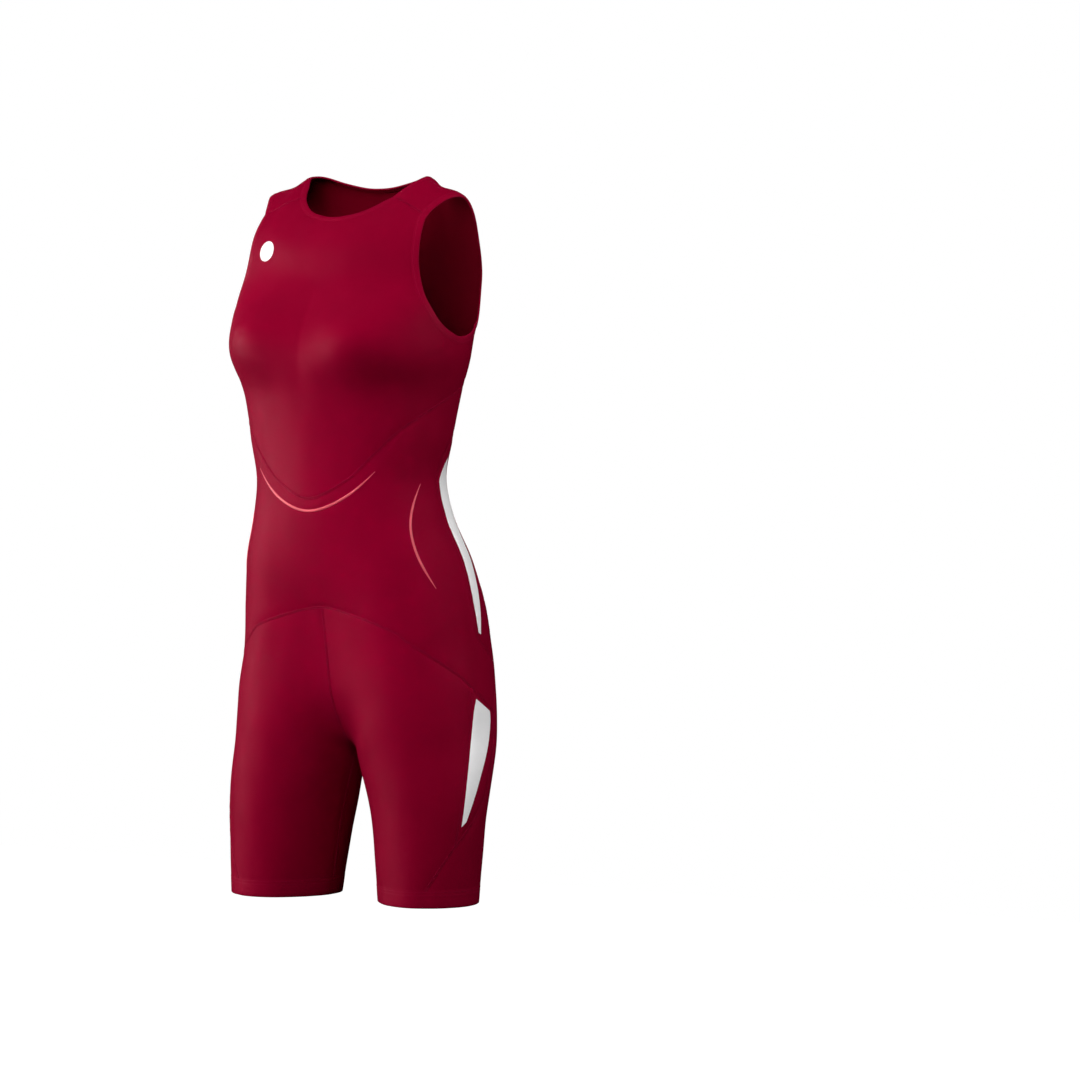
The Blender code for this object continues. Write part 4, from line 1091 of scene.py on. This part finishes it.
def left_seams():
    """Every seam of the wearer's left side, as evenly spaced points."""
    at = corners()
    found = {**neck_lines(at), **arm_lines(at)}
    for table, on_leg in ((TORSO_SEAMS, False), (LEG_SEAMS, True)):
        for name, (start, end, rows) in table.items():
            found[name] = seam(rows, CELLS[name], at[start], at[end], on_leg)
    found["shoulder"] = space_seam(np.array(SHOULDER_SEAM) * MM, CELLS["shoulder"],
                                   at["neck_forward"], at["arm_forward"])
    for name, (start, end) in STRAIGHT_SEAMS.items():
        found[name] = straight_seam(at[start], at[end], CELLS[name])
    for name, (start, end) in MIDDLE_SEAMS.items():
        found[name] = straight_seam(at[start], at[end], CELLS[name]) * (0, 1, 1)
    for name, start in CROTCH_SEAMS.items():
        found[name] = centre_seam(at[start], at["crotch"], CELLS[name])
    return found


def left_panels(seams):
    """Grids of cloth of the wearer's left side."""
    return {name: spread(*(run_of(seams, run) for run in edges))
            for name, edges in PANEL_EDGES.items()}


# ---- Finishes ----
class Finish:
    """A procedural material, with helpers that add nodes to it."""

    def __init__(self, name, roughness=0.5, sheen=0.0, sheen_tint=(1.0, 1.0, 1.0),
                 specular=0.5):
        self.material = bpy.data.materials.new(name)
        self.material.use_nodes = True
        self.tree = self.material.node_tree
        self.shader = self.tree.nodes["Principled BSDF"]
        self.shader.inputs["Roughness"].default_value = roughness
        self.shader.inputs["Sheen Weight"].default_value = sheen
        self.shader.inputs["Sheen Roughness"].default_value = SHEEN_ROUGHNESS
        self.shader.inputs["Sheen Tint"].default_value = (*sheen_tint, 1.0)
        self.shader.inputs["Specular IOR Level"].default_value = specular
        self.shader.inputs["Specular Tint"].default_value = (*sheen_tint, 1.0)

    def add(self, kind, **values):
        """A new shader node with settings."""
        made = self.tree.nodes.new(kind)
        for key, value in values.items():
            setattr(made, key, value)
        return made

    def join(self, source, target):
        """Link an output to an input."""
        self.tree.links.new(source, target)

    def calc(self, operation, first, second=0.0):
        """One step of arithmetic on shader values."""
        made = self.add("ShaderNodeMath", operation=operation)
        for socket, value in zip(made.inputs, (first, second)):
            if isinstance(value, (int, float)):
                socket.default_value = value
            else:
                self.join(value, socket)
        return made.outputs[0]

    def noise(self, scale, detail=2.0):
        """Soft noise over the object, from 0 to 1."""
        place = self.add("ShaderNodeTexCoord")
        made = self.add("ShaderNodeTexNoise")
        made.inputs["Scale"].default_value = scale
        made.inputs["Detail"].default_value = detail
        self.join(place.outputs["Object"], made.inputs["Vector"])
        return made.outputs[0]

    def flat_place(self):
        """Place on the flat cloth, across and up, in metres."""
        place = self.add("ShaderNodeUVMap", uv_map="cloth")
        parts = self.add("ShaderNodeSeparateXYZ")
        self.join(place.outputs["UV"], parts.inputs[0])
        return parts.outputs[0], parts.outputs[1]

    def colours(self, share, low, high):
        """Base colour between two, by a share from 0 to 1."""
        ramp = self.add("ShaderNodeValToRGB")
        for end, position, colour in zip(ramp.color_ramp.elements, TONE_RAMP, (low, high)):
            end.position = position
            end.color = (*colour, 1.0)
        self.join(share, ramp.inputs[0])
        self.join(ramp.outputs[0], self.shader.inputs["Base Color"])

    def mottle(self, colour, scale, tones, detail=2.0):
        """Base colour that wanders between two tones of a colour."""
        self.colours(self.noise(scale, detail), *(shade(colour, tone) for tone in tones))

    def roughness(self, share, low, high):
        """Roughness between two, by a share from 0 to 1."""
        span = self.add("ShaderNodeMapRange")
        span.inputs["To Min"].default_value = low
        span.inputs["To Max"].default_value = high
        self.join(share, span.inputs["Value"])
        self.join(span.outputs[0], self.shader.inputs["Roughness"])

    def bump(self, height, depth, strength=1.0):
        """Raise the surface by a height, in metres where it is 1."""
        made = self.add("ShaderNodeBump")
        made.inputs["Strength"].default_value = strength
        made.inputs["Distance"].default_value = depth
        self.join(height, made.inputs["Height"])
        was = self.shader.inputs["Normal"].links
        if was:
            self.join(was[0].from_socket, made.inputs["Normal"])
        self.join(made.outputs[0], self.shader.inputs["Normal"])


def shade(colour, share):
    """A colour made darker or lighter."""
    return tuple(part * share for part in colour)


def knit(name, colour, sheen=CLOTH_SHEEN, specular=CLOTH_SPECULAR, rough=CLOTH_ROUGHNESS):
    """Fine warp-knit stretch cloth: wales up the cloth, courses in a slight zigzag across."""
    finish = Finish(name, sheen=sheen, sheen_tint=SHEEN_TINT, specular=specular)
    across, up = finish.flat_place()
    wale_turn = finish.calc("MULTIPLY", across, 2 * math.pi / WALE)
    half_turn = finish.calc("MULTIPLY", wale_turn, 0.5)
    zigzag = finish.calc("ABSOLUTE", finish.calc("SINE", half_turn))
    course_turn = finish.calc("MULTIPLY", up, 2 * math.pi / COURSE)
    course_turn = finish.calc("ADD", course_turn, finish.calc("MULTIPLY", zigzag, COURSE_SWING))
    wale = finish.calc("SINE", wale_turn)
    course = finish.calc("SINE", course_turn)
    height = finish.calc("ADD", wale, finish.calc("MULTIPLY", course, COURSE_SHARE))
    finish.mottle(colour, CLOTH_TONE, CLOTH_TONES, detail=4.0)
    finish.roughness(finish.noise(CLOTH_GLOSS), *rough)
    finish.bump(finish.noise(CLOTH_FUZZ), FUZZ_DEPTH, strength=0.4)
    finish.bump(height, KNIT_DEPTH, strength=0.5)
    return finish.material


def thread_cover(name, colour):
    """Flat seam of looper threads: fine slanted coils along the run."""
    finish = Finish(name, COVER_ROUGHNESS, CLOTH_SHEEN, SHEEN_TINT, CLOTH_SPECULAR)
    across, up = finish.flat_place()
    slant = finish.calc("ADD", up, finish.calc("MULTIPLY", across, COIL_SLANT))
    turn = finish.calc("MULTIPLY", slant, 2 * math.pi / THREAD_COIL)
    coil = finish.calc("SINE", turn)
    finish.mottle(colour, COVER_TONE, COVER_TONES)
    finish.bump(coil, COIL_DEPTH, strength=0.7)
    return finish.material


def thread(name, colour):
    """Sewing thread with a faint fuzz."""
    finish = Finish(name, THREAD_ROUGHNESS, THREAD_SHEEN, SHEEN_TINT)
    finish.mottle(colour, THREAD_TONE, THREAD_TONES)
    finish.bump(finish.noise(THREAD_FUZZ), THREAD_FUZZ_DEPTH, strength=0.6)
    return finish.material


def bonded(name, colour, roughness):
    """Smooth bonded film or cord with a faint grain from the cloth beneath."""
    finish = Finish(name, roughness)
    finish.mottle(colour, FILM_TONE, FILM_TONES, detail=3.0)
    finish.roughness(finish.noise(FILM_GLOSS), *(roughness + part for part in BONDED_GLOSS))
    finish.bump(finish.noise(FILM_GRAIN), FUZZ_DEPTH, strength=0.35)
    return finish.material


# ---- The garment ----
def build_cloth(panels, inside, relief):
    """The panels, each cut from one or more grids."""
    face = knit("crimson_knit", CRIMSON)
    for node, parts in BODY_PIECES.items():
        left = [panels[part] for part in parts]
        cloth(node, left + [mirrored(grid) for grid in left], face, relief, inside=inside)
    for node, part in SIDED_PIECES.items():
        both_sides(node, [panels[part]], face, relief, inside=inside)


def hem_lines(seams):
    """Seam and edge of the left leg's hem, each a closed loop."""
    ring = run_of(seams, "hem_front hem_rear")[:-1]
    return ring, settle(ring - (0, 0, HEM_DEPTH))


def build_bands(seams, materials, relief):
    """Edge bands of the neck and armholes, and the hems."""
    loops = [("neck_binding", *neck_loop(), BAND_WALL, BAND_PROUD, NECK_BINDING_WIDTH)]
    arm_edge, arm_seam = arm_loop()
    ring, hem_edge = hem_lines(seams)
    for suffix, flip in (("_l", 1.0), ("_r", FLIP)):
        loops.append(("armhole_binding" + suffix, arm_edge * flip, arm_seam * flip,
                      BAND_WALL, BAND_PROUD, ARM_BINDING_WIDTH))
        loops.append(("leg_hem" + suffix, hem_edge * flip, ring * flip,
                      HEM_WALL, HEM_PROUD, HEM_DEPTH))
    for node, edge, seam_line, wall, proud, width in loops:
        band(node, edge, seam_line, wall, proud, materials, relief, width)


def across_middle(curve):
    """A left-side curve that starts in the middle plane, with its mirror image."""
    return np.vstack([curve[:0:-1] * FLIP, curve])


def seam_runs(seams):
    """Every sewn seam that shows, by the group it is sewn in."""
    runs = {}
    for group, (crossing, middle, sides) in SEWN_SEAMS.items():
        left = [run_of(seams, names) for names in sides]
        runs[group] = ([across_middle(run_of(seams, names)) for names in crossing]
                       + [seams[name] for name in middle] + left
                       + [curve * FLIP for curve in left])
    return runs


def edge_stitching(seams):
    """Needle rows on the edge bands and the hems, by the group they belong to."""
    neck, arm, hem = neck_loop()[1], arm_loop()[1], hem_lines(seams)[0]
    closed = {name: np.vstack([loop, loop[:1]])
              for name, loop in (("neck", neck), ("arm", arm), ("hem", hem))}
    both = {name: (curve, curve[::-1] * FLIP) for name, curve in closed.items()}
    bands = (closed["neck"], *both["arm"])
    return {
        "upper": [(curve, off, BAND_PROUD) for curve in bands for off in BAND_STITCHES],
        "leg": [(curve, off, HEM_PROUD) for curve in both["hem"] for off in HEM_STITCHES],
    }


def build_sewing(seams, runs, relief):
    """Flat seam covers, and the needle rows on them and on the edges."""
    cover = thread_cover("crimson_seam", SEAM_CRIMSON)
    sewing = thread("crimson_thread", THREAD_CRIMSON)
    edges = edge_stitching(seams)
    for group, node in SEWN_NODES.items():
        ridges("seams_" + group, node, runs[group], cover, relief)
        rows = [(curve, offset, RIDGE_PROUD) for curve in runs[group] for offset in NEEDLE_ROWS]
        stitches("stitches_" + group, node, rows + edges[group], sewing, relief)


def build_trim(panels, relief):
    """Bonded cords and films."""
    coral = bonded("coral_cord", CORAL, CORD_ROUGHNESS)
    half = turned_curve(UNDER_BUST_CORD)
    half[0, 0] = 0.0
    cord_run("piping_under_bust", across_middle(half), coral, relief)
    hip = turned_curve(HIP_CORD)
    cord_run("piping_hip_l", hip, coral, relief)
    cord_run("piping_hip_r", hip * FLIP, coral, relief)
    white = bonded("white_film", WHITE, FILM_ROUGHNESS)
    raised = {"wall": FILM_WALL, "lift": FILM_LIFT + FILM_WALL}
    for name, panel, outline, across_cells in FLASHES:
        grid = film(panels[panel], outline, FLASH_CELLS, across_cells)
        both_sides(name, [grid], white, relief, **raised)
    cloth("chest_dot", [disc(CHEST_DOT, DOT_RADIUS)], white, relief, **raised)
    grey = bonded("pale_film", PALE, FILM_ROUGHNESS)
    _, back, height = np.array(BACK_TAB) * MM
    tab_line = settle(np.linspace((TAB_HALF, back, height), (-TAB_HALF, back, height),
                                  TAB_POINTS))
    cloth("back_tab", [strip(tab_line, TAB_WIDTH)], grey, relief, **raised)


# ---- The studio ----
def facing(place, target):
    """Turn that points a lamp or camera from its place to a target."""
    return (Vector(target) - Vector(place)).to_track_quat("-Z", "Y").to_euler()


def round_axis(turn, out, height):
    """Place at degrees round the garment's axis from its front, a distance out, at a height."""
    angle = math.radians(turn)
    return (out * math.sin(angle), AXIS_BACK - out * math.cos(angle), height)


def softbox(name, turn, out, height, size, power, spread):
    """Soft lamp round the garment: degrees left of the camera, distance out, height."""
    lamp = bpy.data.lights.new(name, "AREA")
    lamp.shape = "RECTANGLE"
    lamp.size, lamp.size_y = size
    lamp.energy = power
    lamp.spread = math.radians(spread)
    holder = placed(name, lamp)
    holder.location = round_axis(CAMERA_TURN - turn, out, height)
    holder.rotation_euler = facing(holder.location, (0, AXIS_BACK, LIGHT_AIM))
    holder.visible_glossy = name in SATIN_LIGHTS


def studio():
    """White floor and backdrop that light nothing, and the lamps."""
    wide = FLOOR_WIDE / 2
    floor_mesh = bpy.data.meshes.new("floor")
    floor_mesh.from_pydata([(x * wide, y * wide, FLOOR_HEIGHT)
                            for x, y in ((-1, -1), (1, -1), (1, 1), (-1, 1))], [], [(0, 1, 2, 3)])
    floor = placed("floor", floor_mesh)
    pale = Finish("pale_floor", FLOOR_ROUGHNESS, specular=FLOOR_SPECULAR)
    pale.mottle((1.0, 1.0, 1.0), FLOOR_TONE, FLOOR_TONES)
    pale.shader.inputs["Emission Color"].default_value = (1.0, 1.0, 1.0, 1.0)
    pale.shader.inputs["Emission Strength"].default_value = FLOOR_GLOW
    floor_mesh.materials.append(pale.material)
    floor.visible_diffuse = False
    floor.visible_glossy = False

    world = bpy.data.worlds.new("white_studio")
    bpy.context.scene.world = world
    world.use_nodes = True
    backdrop = world.node_tree.nodes["Background"]
    backdrop.inputs["Color"].default_value = (1.0, 1.0, 1.0, 1.0)
    backdrop.inputs["Strength"].default_value = 1.0
    world.cycles_visibility.diffuse = False
    world.cycles_visibility.glossy = False
    bpy.context.scene.view_settings.view_transform = "Standard"

    for row in SOFTBOXES:
        softbox(*row)


def camera():
    """Camera of the front three-quarter view."""
    lens = bpy.data.cameras.new("camera")
    lens.sensor_width = SENSOR
    lens.lens = CAMERA_LENS
    lens.clip_end = CAMERA_REACH
    holder = placed("camera", lens)
    holder.location = round_axis(CAMERA_TURN, CAMERA_DISTANCE, CAMERA_HEIGHT)
    holder.rotation_euler = (math.radians(90 - CAMERA_DOWN), 0.0,
                             math.radians(CAMERA_TURN - CAMERA_ASIDE))
    bpy.context.scene.camera = holder


def main():
    """The camera, the studio and the garment, whose pieces ride on one body."""
    camera()
    studio()
    seams = left_seams()
    panels = left_panels(seams)
    runs = seam_runs(seams)
    relief = Relief(runs["upper"] + runs["leg"], [crease_line(row) for row in CREASES])

    # Inside finish: duller knit, its darker colour partly painted shade of the garment's hollow.
    inside = knit("crimson_knit_inside_shaded", INSIDE_SHADED_CRIMSON, 0.0, INSIDE_SPECULAR, INSIDE_ROUGHNESS)
    build_cloth(panels, inside, relief)
    edge_band = knit("crimson_band", BAND_CRIMSON, CLOTH_SHEEN, BAND_SPECULAR)
    build_bands(seams, (edge_band, inside), relief)
    build_sewing(seams, runs, relief)
    build_trim(panels, relief)


main()
